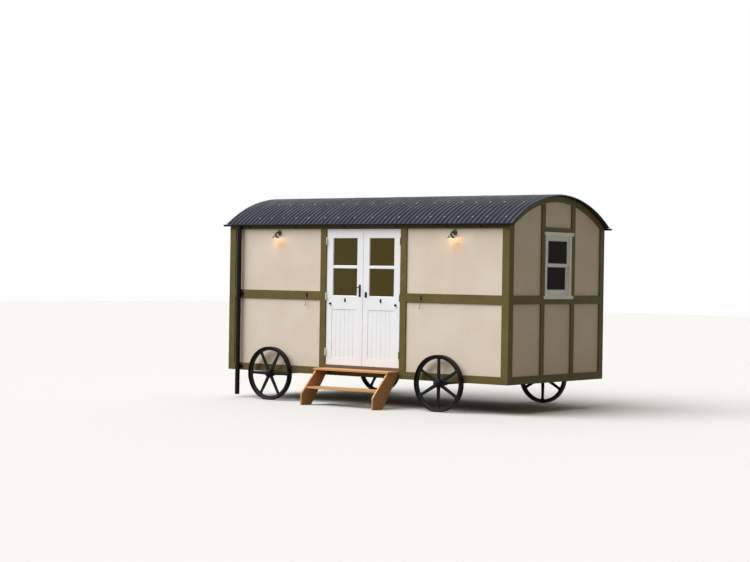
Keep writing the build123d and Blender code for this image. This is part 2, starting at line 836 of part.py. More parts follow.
# End window: a box frame with sill and head that fills the opening, two sashes and their panes
frame_low_x = half_length - box_frame_depth
window_middle_z = (window_bottom + window_top) / 2
horn_width = window_width + 2 * sill_horn
sill_middle_z = sill_bottom + sill_height / 2
head_middle_z = window_top + window_head_height / 2
with BuildPart() as window_frame:
    with BuildSketch(Plane.YZ.offset(frame_low_x)):
        with Locations((middle_y, window_middle_z)):
            Rectangle(window_width, window_top - window_bottom)
        with Locations((middle_y, window_middle_z - box_frame_width / 4)):
            Rectangle(
                window_width - 2 * box_frame_width,
                window_top - window_bottom - box_frame_width / 2,
                mode=Mode.SUBTRACT,
            )
    extrude(amount=box_frame_depth)
    with BuildSketch(Plane.YZ.offset(panel_x)):
        with Locations((middle_y, sill_middle_z)):
            Rectangle(window_width, sill_height)
        with Locations((middle_y, head_middle_z)):
            Rectangle(window_width, window_head_height)
    extrude(amount=trim_thickness)
    with BuildSketch(Plane.YZ.offset(half_length)):
        with Locations((middle_y, sill_middle_z)):
            Rectangle(horn_width, sill_height)
        with Locations((middle_y, head_middle_z)):
            Rectangle(horn_width, window_head_height)
    extrude(amount=sill_reach)
write(window_frame.part, "window_frame")

sash_opening_top = window_top - box_frame_width / 2
sash_width = window_width - 2 * box_frame_width - 2 * seat
sash_front_x = half_length - sash_recess
lower_sash_x = sash_front_x - sash_depth - seat
meeting_rail_top = meeting_rail_bottom + meeting_rail_height
upper_sash_top = sash_opening_top - seat
sashes = (
    (sash_front_x, meeting_rail_bottom, upper_sash_top, meeting_rail_height, upper_rail_height),
    (lower_sash_x, window_bottom, meeting_rail_top, lower_rail_height, meeting_rail_height),
)
with BuildPart() as window_sashes:
    for outer_x, low_z, high_z, low_rail, high_rail in sashes:
        with BuildSketch(Plane.YZ.offset(outer_x)):
            with Locations((middle_y, (low_z + high_z) / 2)):
                Rectangle(sash_width, high_z - low_z)
            with Locations((middle_y, (low_z + low_rail + high_z - high_rail) / 2)):
                Rectangle(
                    sash_width - 2 * sash_stile_width,
                    high_z - high_rail - low_z - low_rail,
                    mode=Mode.SUBTRACT,
                )
        extrude(amount=-sash_depth)
write(window_sashes.part, "window_sashes")

with BuildPart() as window_panes:
    for outer_x, low_z, high_z, low_rail, high_rail in sashes:
        with BuildSketch(Plane.YZ.offset(outer_x - (sash_depth - pane_thickness) / 2)):
            with Locations((middle_y, (low_z + low_rail + high_z - high_rail) / 2)):
                Rectangle(
                    sash_width - 2 * sash_stile_width - 2 * seat,
                    high_z - high_rail - low_z - low_rail - 2 * seat,
                )
        extrude(amount=-pane_thickness)
write(window_panes.part, "window_panes")

# Steps: two stringers and two treads
steps_front_y = front_y - steps_reach
stringer_outline = [
    (steps_front_y, 0),
    (steps_front_y, stringer_knee_height),
    (front_y - stringer_top_reach, stringer_top),
    (front_y, stringer_top),
    (front_y, stringer_wall_height),
    (steps_front_y + stringer_foot_depth, 0),
]
stringer_offset = (steps_width - stringer_thickness) / 2
with BuildPart() as step_stringers:
    for side in (-1, 1):
        with BuildSketch(Plane.YZ.offset(door_centre_x + side * stringer_offset)):
            Polygon(*stringer_outline, align=None)
        extrude(amount=stringer_thickness / 2, both=True)
write(step_stringers.part, "step_stringers")

with BuildPart() as step_treads:
    with BuildSketch(Plane.XY.offset(stringer_top)):
        with Locations((door_centre_x, front_y - tread_depth / 2)):
            Rectangle(steps_width + 2 * tread_overhang, tread_depth)
    extrude(amount=tread_thickness)
    with BuildSketch(Plane.XY.offset(lower_tread_top)):
        with Locations((door_centre_x, front_y - lower_tread_front + tread_depth / 2)):
            Rectangle(steps_width - 2 * stringer_thickness, tread_depth)
    extrude(amount=-tread_thickness)
write(step_treads.part, "step_treads")

# Gutters: half-round channels with closed ends, and an outlet into the downpipe at the front
gutter_z = eaves_height - gutter_below_eaves
gutter_half_length = sheet_half_length + gutter_end_gap + gutter_wall
front_gutter_y = front_y - gutter_off_wall
back_gutter_y = back_y + gutter_off_wall
downpipe_x = -half_length + downpipe_from_end
gutter_bottom = gutter_z - gutter_radius
with BuildPart() as gutters:
    for centre_y in (front_gutter_y, back_gutter_y):
        with BuildSketch(Plane.YZ):
            with Locations((centre_y, gutter_z)):
                Circle(gutter_radius)
            with Locations((centre_y, gutter_z + gutter_radius)):
                Rectangle(2 * gutter_radius, 2 * gutter_radius, mode=Mode.SUBTRACT)
        extrude(amount=gutter_half_length, both=True)
    with BuildSketch(Plane.XY.offset(gutter_z - gutter_radius / 2)):
        with Locations((downpipe_x, front_gutter_y)):
            RegularPolygon(outlet_radius, small_sides)
    extrude(amount=-gutter_radius / 2 - outlet_length)
    for centre_y in (front_gutter_y, back_gutter_y):
        with BuildSketch(Plane.YZ):
            with Locations((centre_y, gutter_z)):
                Circle(gutter_radius - gutter_wall)
        extrude(amount=gutter_half_length - gutter_wall, both=True, mode=Mode.SUBTRACT)
    with BuildSketch(Plane.XY.offset(gutter_z)):
        with Locations((downpipe_x, front_gutter_y)):
            RegularPolygon(outlet_radius - outlet_wall, small_sides)
    extrude(amount=-gutter_radius - outlet_length, mode=Mode.SUBTRACT)
write(gutters.part, "gutters")

# Gutter brackets: a strap bent round the channel, on an arm from a plate on the top rail
strap_reach = gutter_radius + seat
strap_corner_turn = 180 / strap_sides
arm_z = gutter_z - strap_reach - bracket_thickness / 2
with BuildPart() as gutter_brackets:
    for centre_y, wall_y in ((front_gutter_y, front_y), (back_gutter_y, back_y)):
        plate_y = wall_y + math.copysign(bracket_thickness / 2, centre_y - wall_y)
        plate_low_z = gutter_bottom - bracket_drop
        for x in bracket_xs:
            with BuildSketch(Plane.YZ.offset(x)):
                with Locations((centre_y, gutter_z)):
                    RegularPolygon(
                        strap_reach + bracket_thickness,
                        strap_sides,
                        major_radius=False,
                        rotation=strap_corner_turn,
                    )
                    RegularPolygon(
                        strap_reach,
                        strap_sides,
                        major_radius=False,
                        rotation=strap_corner_turn,
                        mode=Mode.SUBTRACT,
                    )
                with Locations((centre_y, gutter_z + gutter_radius)):
                    Rectangle(4 * gutter_radius, 2 * gutter_radius, mode=Mode.SUBTRACT)
                with Locations((plate_y, (plate_low_z + gutter_z) / 2)):
                    Rectangle(bracket_thickness, gutter_z - plate_low_z)
                with Locations(((wall_y + centre_y) / 2, arm_z)):
                    Rectangle(gutter_off_wall, bracket_thickness)
            extrude(amount=bracket_width / 2, both=True)
write(gutter_brackets.part, "gutter_brackets")

# Downpipe under the front gutter, held by collars with ears on the rails
downpipe_top = gutter_bottom - seat
collar_heights = (
    (body_bottom + bottom_rail_top) / 2,
    (mid_rail_bottom + mid_rail_top) / 2,
)
with BuildPart() as downpipe:
    with BuildSketch(Plane.XY.offset(downpipe_bottom)):
        with Locations((downpipe_x, front_gutter_y)):
            RegularPolygon(downpipe_radius, large_sides)
    extrude(amount=downpipe_top - downpipe_bottom)
    for height in collar_heights:
        with BuildSketch(Plane.XY.offset(height - collar_height / 2)):
            with Locations((downpipe_x, front_gutter_y)):
                RegularPolygon(downpipe_radius + collar_thickness, large_sides)
            with Locations((downpipe_x, front_y - ear_thickness / 2)):
                Rectangle(ear_width, ear_thickness)
        extrude(amount=collar_height)
    with BuildSketch(Plane.XY.offset(downpipe_bottom)):
        with Locations((downpipe_x, front_gutter_y)):
            RegularPolygon(downpipe_radius - downpipe_wall, large_sides)
    extrude(amount=downpipe_top - downpipe_bottom, mode=Mode.SUBTRACT)
write(downpipe.part, "downpipe")

# Lamps: a neck out and down from a round plate to a conical shade, with a bulb in it
lamp_xs = (lamp_left_x, lamp_right_x)
neck_end_y = front_panel_y - lamp_reach
neck_start_y = front_panel_y - lamp_plate_thickness / 2
shade_top = lamp_height - shade_drop
shade_bottom = shade_top - shade_height
with BuildPart() as lamps:
    for x in lamp_xs:
        with BuildSketch(Plane.XZ.offset(-front_panel_y)):
            with Locations((x, lamp_height)):
                RegularPolygon(lamp_plate_radius, large_sides)
        extrude(amount=lamp_plate_thickness)
        with BuildLine(Plane.YZ.offset(x)):
            Polyline(
                (neck_start_y, lamp_height),
                (neck_end_y + neck_bend, lamp_height),
                (neck_end_y, lamp_height - neck_bend),
                (neck_end_y, shade_top - shade_wall / 2),
            )
        with BuildSketch(Plane(origin=(x, neck_start_y, lamp_height), z_dir=(0, -1, 0))):
            RegularPolygon(neck_radius, small_sides)
        sweep(transition=Transition.RIGHT)
        for radius, top_radius, top, mode in (
            (shade_radius, shade_top_radius, shade_top, Mode.ADD),
            (
                shade_radius - shade_wall,
                shade_top_radius - shade_wall,
                shade_top - shade_wall,
                Mode.SUBTRACT,
            ),
        ):
            with BuildSketch(Plane.XY.offset(shade_bottom)):
                with Locations((x, neck_end_y)):
                    RegularPolygon(radius, large_sides)
            with BuildSketch(Plane.XY.offset(top)):
                with Locations((x, neck_end_y)):
                    RegularPolygon(top_radius, large_sides)
            loft(ruled=True, mode=mode)
write(lamps.part, "lamps")

bulb_top = shade_top - shade_wall - seat
bulb_z = shade_bottom + bulb_radius - bulb_below_shade
with BuildPart() as lamp_bulbs:
    for x in lamp_xs:
        with BuildSketch(Plane.XY.offset(bulb_z)):
            with Locations((x, neck_end_y)):
                RegularPolygon(bulb_radius, small_sides)
        extrude(amount=-bulb_radius)
        with BuildSketch(Plane.XY.offset(bulb_z)):
            with Locations((x, neck_end_y)):
                RegularPolygon(bulb_radius, small_sides)
        with BuildSketch(Plane.XY.offset(bulb_top)):
            with Locations((x, neck_end_y)):
                RegularPolygon(bulb_neck_radius, small_sides)
        loft(ruled=True)
write(lamp_bulbs.part, "lamp_bulbs")
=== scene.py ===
import math

import bmesh
import bpy
from mathutils import Matrix, Vector


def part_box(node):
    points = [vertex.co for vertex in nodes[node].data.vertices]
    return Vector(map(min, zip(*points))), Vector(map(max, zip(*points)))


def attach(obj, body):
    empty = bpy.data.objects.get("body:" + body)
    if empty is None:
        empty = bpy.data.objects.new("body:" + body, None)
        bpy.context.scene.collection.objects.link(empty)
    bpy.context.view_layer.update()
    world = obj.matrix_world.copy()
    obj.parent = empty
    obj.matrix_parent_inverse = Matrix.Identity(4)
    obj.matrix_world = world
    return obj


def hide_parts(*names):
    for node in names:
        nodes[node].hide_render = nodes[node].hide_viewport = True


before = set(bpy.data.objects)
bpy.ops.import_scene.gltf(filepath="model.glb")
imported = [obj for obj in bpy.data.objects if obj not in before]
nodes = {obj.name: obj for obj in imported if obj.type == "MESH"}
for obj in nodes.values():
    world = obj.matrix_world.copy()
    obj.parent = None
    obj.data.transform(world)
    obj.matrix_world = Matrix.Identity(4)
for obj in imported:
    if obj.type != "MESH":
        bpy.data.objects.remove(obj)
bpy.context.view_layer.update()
print("frame loaded:", len(nodes), "nodes")

hut = {  # faces that the fittings sit on, in metres
    "frontY": -1.02225, "frontPanelY": -1.00225, "leafFrontY": -1.00725,
    "beamYs": (-0.96725, 1.33775), "axleXs": (-1.559, 1.404), "doorX": 0.024,
    "stepWidth": 1.268, "hairGap": 0.0003,
}
frontward, backward, upward = (0, -1, 0), (0, 1, 0), (0, 0, 1)
rightward, leftward = (1, 0, 0), (-1, 0, 0)
placed = Matrix.Translation  # matrix that moves a part to a place


def turned(degrees, axis):
    return Matrix.Rotation(math.radians(degrees), 4, axis)


def facing(place, direction):
    # matrix that stands a part's own Z along a direction, at a place
    turn = Vector(direction).to_track_quat("Z", "Y").to_matrix().to_4x4()
    return placed(place) @ turn


def ease(part, geom, width, segments=2, affect="EDGES", clamp=False):
    # rounds edges or corners off
    bmesh.ops.bevel(part, geom=geom, offset=width, segments=segments, profile=0.5,
                    affect=affect, material=-1, clamp_overlap=clamp)


def faceOutwards(part):
    bmesh.ops.recalc_face_normals(part, faces=part.faces)


def addPart(bm, part, matrix=None):
    # moves a finished part into place and joins it to a piece
    if matrix is not None:
        part.transform(matrix)
    mesh = bpy.data.meshes.new("part")
    part.to_mesh(mesh)
    part.free()
    bm.from_mesh(mesh)
    bpy.data.meshes.remove(mesh)


def lathe(profile, steps=48, ring=False, soften=0.0):
    # (radius, height) points turned round Z; a ring's profile is closed
    part = bmesh.new()
    corners = [part.verts.new((radius, 0, height)) for radius, height in profile]
    for first, second in zip(corners, corners[1:]):
        part.edges.new((first, second))
    if ring:
        part.edges.new((corners[-1], corners[0]))
    if soften:
        inner = [v for v in part.verts if len(v.link_edges) == 2 and v.co.x > soften]
        ease(part, inner, soften, affect="VERTICES")
    bmesh.ops.spin(part, geom=part.verts[:] + part.edges[:], cent=(0, 0, 0), axis=(0, 0, 1),
                   angle=2 * math.pi, steps=steps, use_merge=True)
    bmesh.ops.remove_doubles(part, verts=part.verts, dist=1e-6)
    faceOutwards(part)
    return part


def mitredFrame(width, height, profile):
    # moulding round a rectangle: profile points are (inwards, forwards), closed
    half = 0.05  # of the small square that is turned first and then drawn out to size
    outline = [((half - inwards) * math.sqrt(2), forwards) for inwards, forwards in profile]
    part = lathe(outline, steps=4, ring=True)
    part.transform(turned(45, "Z"))
    for vert in part.verts:
        vert.co.x += math.copysign(width / 2 - half, vert.co.x)
        vert.co.y += math.copysign(height / 2 - half, vert.co.y)
    return part


def block(size, soften):
    # box of a size round its middle with eased edges
    part = bmesh.new()
    bmesh.ops.create_cube(part, size=1)
    bmesh.ops.scale(part, vec=size, verts=part.verts)
    ease(part, part.edges[:], soften)
    return part


def plate(width, height, thickness, corner, soften=0.0008):
    # flat plate standing on Z = 0, with rounded corners and an eased front rim
    part = bmesh.new()
    bmesh.ops.create_grid(part, x_segments=1, y_segments=1, size=0.5)
    bmesh.ops.scale(part, vec=(width, height, 1), verts=part.verts)
    ease(part, part.verts[:], corner, 8, "VERTICES")
    grown = bmesh.ops.extrude_face_region(part, geom=part.faces[:])["geom"]
    front = [v for v in grown if isinstance(v, bmesh.types.BMVert)]
    bmesh.ops.translate(part, vec=(0, 0, thickness), verts=front)
    rim = [e for e in part.edges if all(v.co.z > thickness / 2 for v in e.verts)]
    ease(part, rim, soften)
    faceOutwards(part)
    return part


def bentRod(radius, runs, sides=16, end=0.0):
    # round rod: each run is ("straight", vector) or ("bend", centre, axis, angle); an end
    # size above zero domes both tips
    part = bmesh.new()
    bmesh.ops.create_circle(part, cap_ends=True, segments=sides, radius=radius,
                            matrix=facing((0, 0, 0), runs[0][1]))
    tip = part.faces[:]
    for run in runs:
        if run[0] == "straight":
            grown = bmesh.ops.extrude_face_region(part, geom=tip)["geom"]
            tip = [f for f in grown if isinstance(f, bmesh.types.BMFace)]
            ends = list({v for f in tip for v in f.verts})
            bmesh.ops.translate(part, vec=run[1], verts=ends)
        else:
            grown = bmesh.ops.spin(part, geom=tip, cent=run[1], axis=run[2], angle=run[3],
                                   steps=8)["geom_last"]
            tip = [f for f in grown if isinstance(f, bmesh.types.BMFace)]
    if end:
        caps = [f for f in part.faces if len(f.verts) == sides]
        rims = list({e for f in caps for e in f.edges})
        ease(part, rims, end, 3)
    faceOutwards(part)
    return part


def screwHeads(bm, places, direction, radius=0.004, rise=0.0012):
    # low domed heads with a sunk middle, seated a little into the surface
    for place in places:
        head = lathe([(0, rise * 0.35), (radius * 0.35, rise * 0.35), (radius * 0.42, rise),
                      (radius * 0.8, rise * 0.8), (radius, -0.0006), (0, -0.0006)], steps=12)
        addPart(bm, head, facing(place, direction))


def newObject(name, data):
    made = bpy.data.objects.new(name, data)
    bpy.context.collection.objects.link(made)
    return made


def newPiece(name, bm, body, slot, material, *replaced, sharp=35):
    # turns a bmesh into a piece that rides on a CAD body
    mesh = bpy.data.meshes.new(name)
    bm.to_mesh(mesh)
    bm.free()
    mesh.materials.append(material)
    mesh.shade_smooth()
    mesh.set_sharp_from_angle(angle=math.radians(sharp))
    piece = newObject(name, mesh)
    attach(piece, body)
    if replaced:
        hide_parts(*replaced)
    return piece


def camelName(words):
    # the piece that stands for bottom_rails is bottomRails
    first, *rest = words.split("_")
    return first + "".join(word.title() for word in rest)


def toLinear(colour):
    # sRGB hex to the linear value that a socket takes
    parts = [int(colour[at:at + 2], 16) / 255 for at in (1, 3, 5)]
    return [p / 12.92 if p <= 0.04045 else ((p + 0.055) / 1.055) ** 2.4 for p in parts] + [1]


def addNode(tree, kind, inputs=None, output=0, **settings):
    # adds a shader node, sets it, links or fills its inputs and hands back one output
    node = tree.nodes.new("ShaderNode" + kind)
    for name, value in settings.items():
        setattr(node, name, value)
    for name, value in (inputs or {}).items():
        if isinstance(value, bpy.types.NodeSocket):
            tree.links.new(value, node.inputs[name])
        else:
            hexColour = isinstance(value, str)
            node.inputs[name].default_value = toLinear(value) if hexColour else value
    return node.outputs[output] if node.outputs else None


def startMaterial(name):
    material = bpy.data.materials.new(name)
    material.use_nodes = True
    tree = material.node_tree
    tree.nodes.clear()
    return material, tree, addNode(tree, "TexCoord", output="Object")


def endMaterial(material, inputs):
    surface = addNode(material.node_tree, "BsdfPrincipled", inputs)
    addNode(material.node_tree, "OutputMaterial", {"Surface": surface})
    return material


def perMetre(millimetres, stretch):
    # how often a spot of so many millimetres, drawn out along some axes, fits into a metre
    return [1000 / (millimetres * amount) for amount in stretch]


def paintedTimber(name, look):
    # brushed paint on planed timber: soft sheen, faint brush lines along the board,
    # a little grime that gathers low down
    material, tree, place = startMaterial(name)
    drawn = addNode(tree, "Mapping", {"Vector": place,
                                      "Scale": perMetre(look["brushMm"], look["along"])})
    brush = addNode(tree, "TexNoise", {"Vector": drawn, "Scale": 1.0, "Detail": 4.0})
    clouds = addNode(tree, "TexNoise", {"Vector": place, "Scale": 1000 / look["cloudMm"],
                                        "Detail": 3.0})
    fresh = addNode(tree, "MapRange", {0: clouds, 1: 0.3, 2: 0.7})
    tone = addNode(tree, "Mix", {0: fresh, 6: look["dark"], 7: look["base"]}, 2,
                   data_type="RGBA")
    height = addNode(tree, "SeparateXYZ", {0: place}, "Z")
    grimeEdge = addNode(tree, "Math", {0: height, 1: clouds}, operation="SUBTRACT")
    grime = addNode(tree, "MapRange", {0: grimeEdge, 1: look["grimeTop"],
                                       2: look["grimeLow"], 4: look["grime"]})
    colour = addNode(tree, "Mix", {0: grime, 6: tone, 7: look["dirt"]}, 2, data_type="RGBA")
    bump = addNode(tree, "Bump", {"Height": brush, "Distance": 0.0004,
                                  "Strength": look["bump"]})
    rough = addNode(tree, "MapRange", {0: brush, 1: 0.3, 2: 0.7, 3: look["rough"] - 0.06,
                                       4: look["rough"] + 0.06})
    return endMaterial(material, {
        "Base Color": colour, "Roughness": rough, "Specular IOR Level": look["sheen"],
        "Normal": bump})


upright = (1, 1, 14)  # brush marks run up the board
level = (14, 14, 1)  # brush marks run along the board
# satin oil paint brushed on the boards: warm cream, hardly shining, in wide soft clouds
creamLook = {"sheen": 0.3, "base": "#D6CABC", "dark": "#CFC2B1", "dirt": "#AC9F82",
             "brushMm": 2.5, "along": upright, "cloudMm": 420, "bump": 0.25, "rough": 0.55,
             "grimeTop": 0.25, "grimeLow": -0.1, "grime": 0.3}
# the same paint in olive: duller, with the brush lines a little deeper
oliveLook = {"sheen": 0.12, "base": "#665C36", "dark": "#5C522E", "dirt": "#564D31",
             "brushMm": 2.0, "along": upright, "cloudMm": 160, "bump": 0.35, "rough": 0.5,
             "grimeTop": 0.3, "grimeLow": -0.1, "grime": 0.4}
# gloss paint on the joinery: cool white, smooth and nearly clean
whiteLook = {"sheen": 0.3, "base": "#EAECF2", "dark": "#E5E7EC", "dirt": "#C9C5BC",
             "brushMm": 2.0, "along": upright, "cloudMm": 200, "bump": 0.2, "rough": 0.32,
             "grimeTop": 0.45, "grimeLow": 0.1, "grime": 0.25}
creamPaint = paintedTimber("creamSatinPaint", creamLook)
olivePaint = paintedTimber("oliveSatinPaint", oliveLook)
oliveLevelPaint = paintedTimber("oliveSatinPaintLevel", {**oliveLook, "along": level})
whitePaint = paintedTimber("whiteGlossPaint", whiteLook)


def oiledTimber(name, look):
    # planed softwood with oil or stain: growth rings cut into long grain lines, fine pores,
    # darker where the oil has soaked in, and a dark joint between boards where it is laid
    material, tree, place = startMaterial(name)
    moved = addNode(tree, "Mapping", {"Vector": place, "Location": look["pith"]})
    rings = addNode(tree, "TexWave", {"Vector": moved, "Scale": look["ringScale"],
                                      "Distortion": 2.2, "Detail": 2.0, "Detail Scale": 0.6},
                    "Fac", wave_type="RINGS", rings_direction="X")
    fibres = addNode(tree, "Mapping", {"Vector": moved, "Scale": perMetre(1.4, (40, 1, 1))})
    pores = addNode(tree, "TexNoise", {"Vector": fibres, "Scale": 1.0, "Detail": 3.0})
    lengths = addNode(tree, "Mapping", {"Vector": place, "Scale": perMetre(260, (3, 1, 1))})
    boards = addNode(tree, "TexNoise", {"Vector": lengths, "Scale": 1.0, "Detail": 2.0})
    grain = addNode(tree, "Mix", {0: rings, 6: look["early"], 7: look["late"]}, 2,
                    data_type="RGBA")
    soaking = addNode(tree, "MapRange", {0: boards, 1: 0.35, 2: 0.65, 4: 0.5})
    tone = addNode(tree, "Mix", {0: soaking, 6: grain, 7: look["soaked"]}, 2,
                   data_type="RGBA")
    poreDepth = addNode(tree, "MapRange", {0: pores, 1: 0.55, 2: 0.75, 4: 0.5})
    colour = addNode(tree, "Mix", {0: poreDepth, 6: tone, 7: look["pore"]}, 2,
                     data_type="RGBA")
    if look.get("boardMm"):
        across = addNode(tree, "SeparateXYZ", {0: place}, "Y")
        turns = addNode(tree, "Math", {0: across, 1: 1000 / look["boardMm"]},
                        operation="MULTIPLY")
        within = addNode(tree, "Math", {0: turns, 1: 0.5}, operation="PINGPONG")
        joint = addNode(tree, "MapRange", {0: within, 1: 0.012, 2: 0.02, 3: 1.0, 4: 0.0})
        colour = addNode(tree, "Mix", {0: joint, 6: colour, 7: look["pore"]}, 2,
                         data_type="RGBA")
    bump = addNode(tree, "Bump", {"Height": pores, "Distance": 0.0005, "Strength": 0.5})
    return endMaterial(material, {
        "Base Color": colour, "Roughness": look["rough"], "IOR": 1.5, "Normal": bump})


# larch, planed and oiled: orange-brown with clear grain lines
stepLook = {"early": "#CC9A62", "late": "#A87140", "soaked": "#B98650", "pore": "#7C5130",
            "pith": (0, 1.1, -0.07), "ringScale": 22, "rough": 0.55}
# softwood, planed and left dry: pale, matt, with wide rings
softwoodLook = {"early": "#C9A878", "late": "#A98455", "soaked": "#B99467",
                "pore": "#86653F", "pith": (0, 0.4, -0.2), "ringScale": 12, "rough": 0.7}
stepTimber = oiledTimber("oiledLarch", stepLook)
softwood = oiledTimber("planedSoftwood", softwoodLook)
floorTimber = oiledTimber("planedSoftwoodFloor", {**softwoodLook, "boardMm": 120})
# oak under dark oil, then softwood under a brown-black stain
darkOak = oiledTimber("darkOiledOak", {**stepLook, "early": "#65503A", "late": "#4C3A29",
                                       "soaked": "#57432F", "pore": "#2C2017"})
chassisTimber = oiledTimber("stainedChassisTimber",
                            {**softwoodLook, "early": "#43362A", "late": "#33281F",
                             "soaked": "#3A2E24", "pore": "#211A14", "rough": 0.8})


def paintedMetal(name, base, dull, look):
    # paint, wax or zinc on metal: slight orange peel or casting grain, and dust that dulls
    # it in patches
    material, tree, place = startMaterial(name)
    grain = addNode(tree, "TexNoise", {"Vector": place, "Scale": 1000 / look["grainMm"],
                                       "Detail": 2.0})
    clouds = addNode(tree, "TexNoise", {"Vector": place, "Scale": 1000 / look["cloudMm"],
                                        "Detail": 4.0})
    dusty = addNode(tree, "MapRange", {0: clouds, 1: 0.35, 2: 0.7})
    colour = addNode(tree, "Mix", {0: dusty, 6: base, 7: dull}, 2, data_type="RGBA")
    rough = addNode(tree, "MapRange", {0: clouds, 1: 0.3, 2: 0.7, 3: look["rough"] - 0.08,
                                       4: look["rough"] + 0.1})
    bump = addNode(tree, "Bump", {"Height": grain, "Distance": look["grainDeep"],
                                  "Strength": 0.4})
    return endMaterial(material, {
        "Base Color": colour, "Roughness": rough, "Metallic": look["metal"],
        "Specular IOR Level": look["sheen"], "Normal": bump})


metalLook = {"sheen": 0.14, "grainMm": 2, "cloudMm": 120, "rough": 0.42,
             "grainDeep": 0.0002, "metal": 0.0}
# brushed paint on sand-cast iron: near black, a coarse grain under the paint
wheelIron = paintedMetal("paintedCastIron", "#08090B", "#121417",
                         {**metalLook, "grainMm": 3, "cloudMm": 60, "grainDeep": 0.0006})
# sprayed paint on drawn steel: near black and even
blackSteel = paintedMetal("blackPaintedSteel", "#09090A", "#131211", metalLook)
# bare rolled steel: brown-grey scale, half bright
axleSteel = paintedMetal("darkRolledSteel", "#35322E", "#453C33",
                         {**metalLook, "sheen": 0.3, "cloudMm": 40, "rough": 0.5,
                          "grainDeep": 0.0003, "metal": 0.6})
# forged iron under black wax: warm black, a little shinier
waxedIron = paintedMetal("blackWaxedIron", "#0D0C0A", "#1A1814",
                         {**metalLook, "sheen": 0.2, "grainMm": 1.5, "cloudMm": 20,
                          "rough": 0.38})
# spun shade in bronze paint with metal flakes: brown-grey, half bright
lampBronze = paintedMetal("darkBronzePaint", "#544C3E", "#6A614F",
                          {**metalLook, "sheen": 0.3, "grainMm": 1.5, "cloudMm": 25,
                           "rough": 0.35, "grainDeep": 0.0001, "metal": 0.5})
# dipped zinc on bent rod: light warm grey, mottled
hookSteel = paintedMetal("greyGalvanisedSteel", "#8A837A", "#6A645C",
                         {**metalLook, "sheen": 0.3, "cloudMm": 18, "rough": 0.4,
                          "metal": 0.8})
# dull zinc on the roof's screws: mid grey, lighter than the sheets
zincPaint = paintedMetal("greyZincScrewHeads", "#96989E", "#6C6E74",
                         {**metalLook, "sheen": 0.2, "cloudMm": 300, "rough": 0.5,
                          "grainDeep": 0.0001})
# moulded rubber: black and matt
rubber = paintedMetal("blackRubber", "#121212", "#1C1B1A",
                      {**metalLook, "sheen": 0.3, "grainMm": 1, "cloudMm": 10, "rough": 0.7,
                       "grainDeep": 0.0001})


def coatedRoof(look):
    # plastic-coated corrugated steel: slate blue-grey and satin, rubbed lighter in streaks
    # down the slope,
    #     with painted shade darkening every valley so the crests stand out lighter
    material, tree, place = startMaterial("coatedCorrugatedSteel")
    drawn = addNode(tree, "Mapping", {"Vector": place,
                                      "Scale": perMetre(look["streakMm"], (1, 12, 12))})
    streaks = addNode(tree, "TexNoise", {"Vector": drawn, "Scale": 1.0, "Detail": 3.0})
    clouds = addNode(tree, "TexNoise", {"Vector": place, "Scale": 1000 / look["cloudMm"],
                                        "Detail": 4.0})
    along = addNode(tree, "SeparateXYZ", {0: place}, "X")
    turns = addNode(tree, "Math", {0: along, 1: 2 * math.pi / look["pitch"]},
                    operation="MULTIPLY")
    # painted shade: the cosine is 1 in each valley, and there the sheet is darkened nearly to
    # black
    valleyShade = addNode(tree, "Math", {0: turns}, operation="COSINE")
    dirt = addNode(tree, "MapRange", {0: valleyShade, 1: -0.5, 2: 0.8})
    rubbed = addNode(tree, "MapRange", {0: streaks, 1: 0.4, 2: 0.75})
    ridge = addNode(tree, "Mix", {0: rubbed, 6: look["crest"], 7: look["streak"]}, 2,
                    data_type="RGBA")
    tone = addNode(tree, "Mix", {0: dirt, 6: ridge, 7: look["valleyShade"]}, 2, data_type="RGBA")
    dusty = addNode(tree, "MapRange", {0: clouds, 1: 0.5, 2: 0.8, 4: 0.4})
    colour = addNode(tree, "Mix", {0: dusty, 6: tone, 7: look["dust"]}, 2, data_type="RGBA")
    rough = addNode(tree, "MapRange", {0: clouds, 1: 0.3, 2: 0.7, 3: 0.42, 4: 0.56})
    return endMaterial(material, {
        "Base Color": colour, "Roughness": rough, "Specular IOR Level": 0.05})


def windowGlass(name, paintedReflectionCast, paintedReflectionTint, ior):
    # float glass in front of a dark room: dark, with a green-brown cast and tinted reflections
    # that are painted reflection of a garden, and a faint ripple
    material, tree, place = startMaterial(name)
    waves = addNode(tree, "TexNoise", {"Vector": place, "Scale": 1000 / 300, "Detail": 1.0})
    bump = addNode(tree, "Bump", {"Height": waves, "Distance": 0.002, "Strength": 0.15})
    return endMaterial(material, {
        "Base Color": paintedReflectionCast, "Roughness": 0.03, "IOR": ior, "Specular Tint": paintedReflectionTint,
        "Transmission Weight": 0.8, "Normal": bump})


# painted reflection: an olive cast with a warm yellow reflection tint on the door panes,
# darker ones on the end window
doorGlass = windowGlass("floatGlassDoor", "#5E5320", "#FFE68A", 1.5)
endGlass = windowGlass("floatGlassWindow", "#2A2418", "#3C372A", 1.12)


def litBulb():
    # blown glass, frosted inside and lit: warm white, brighter in soft clouds
    material, tree, place = startMaterial("litFrostedGlass")
    clouds = addNode(tree, "TexNoise", {"Vector": place, "Scale": 1000 / 12, "Detail": 1.0})
    colour = addNode(tree, "Mix", {0: clouds, 6: "#FFE9C8", 7: "#FFF6E6"}, 2,
                     data_type="RGBA")
    return endMaterial(material, {
        "Base Color": colour, "Emission Color": colour, "Emission Strength": 3.0,
        "Roughness": 0.3})


bulbGlow = litBulb()

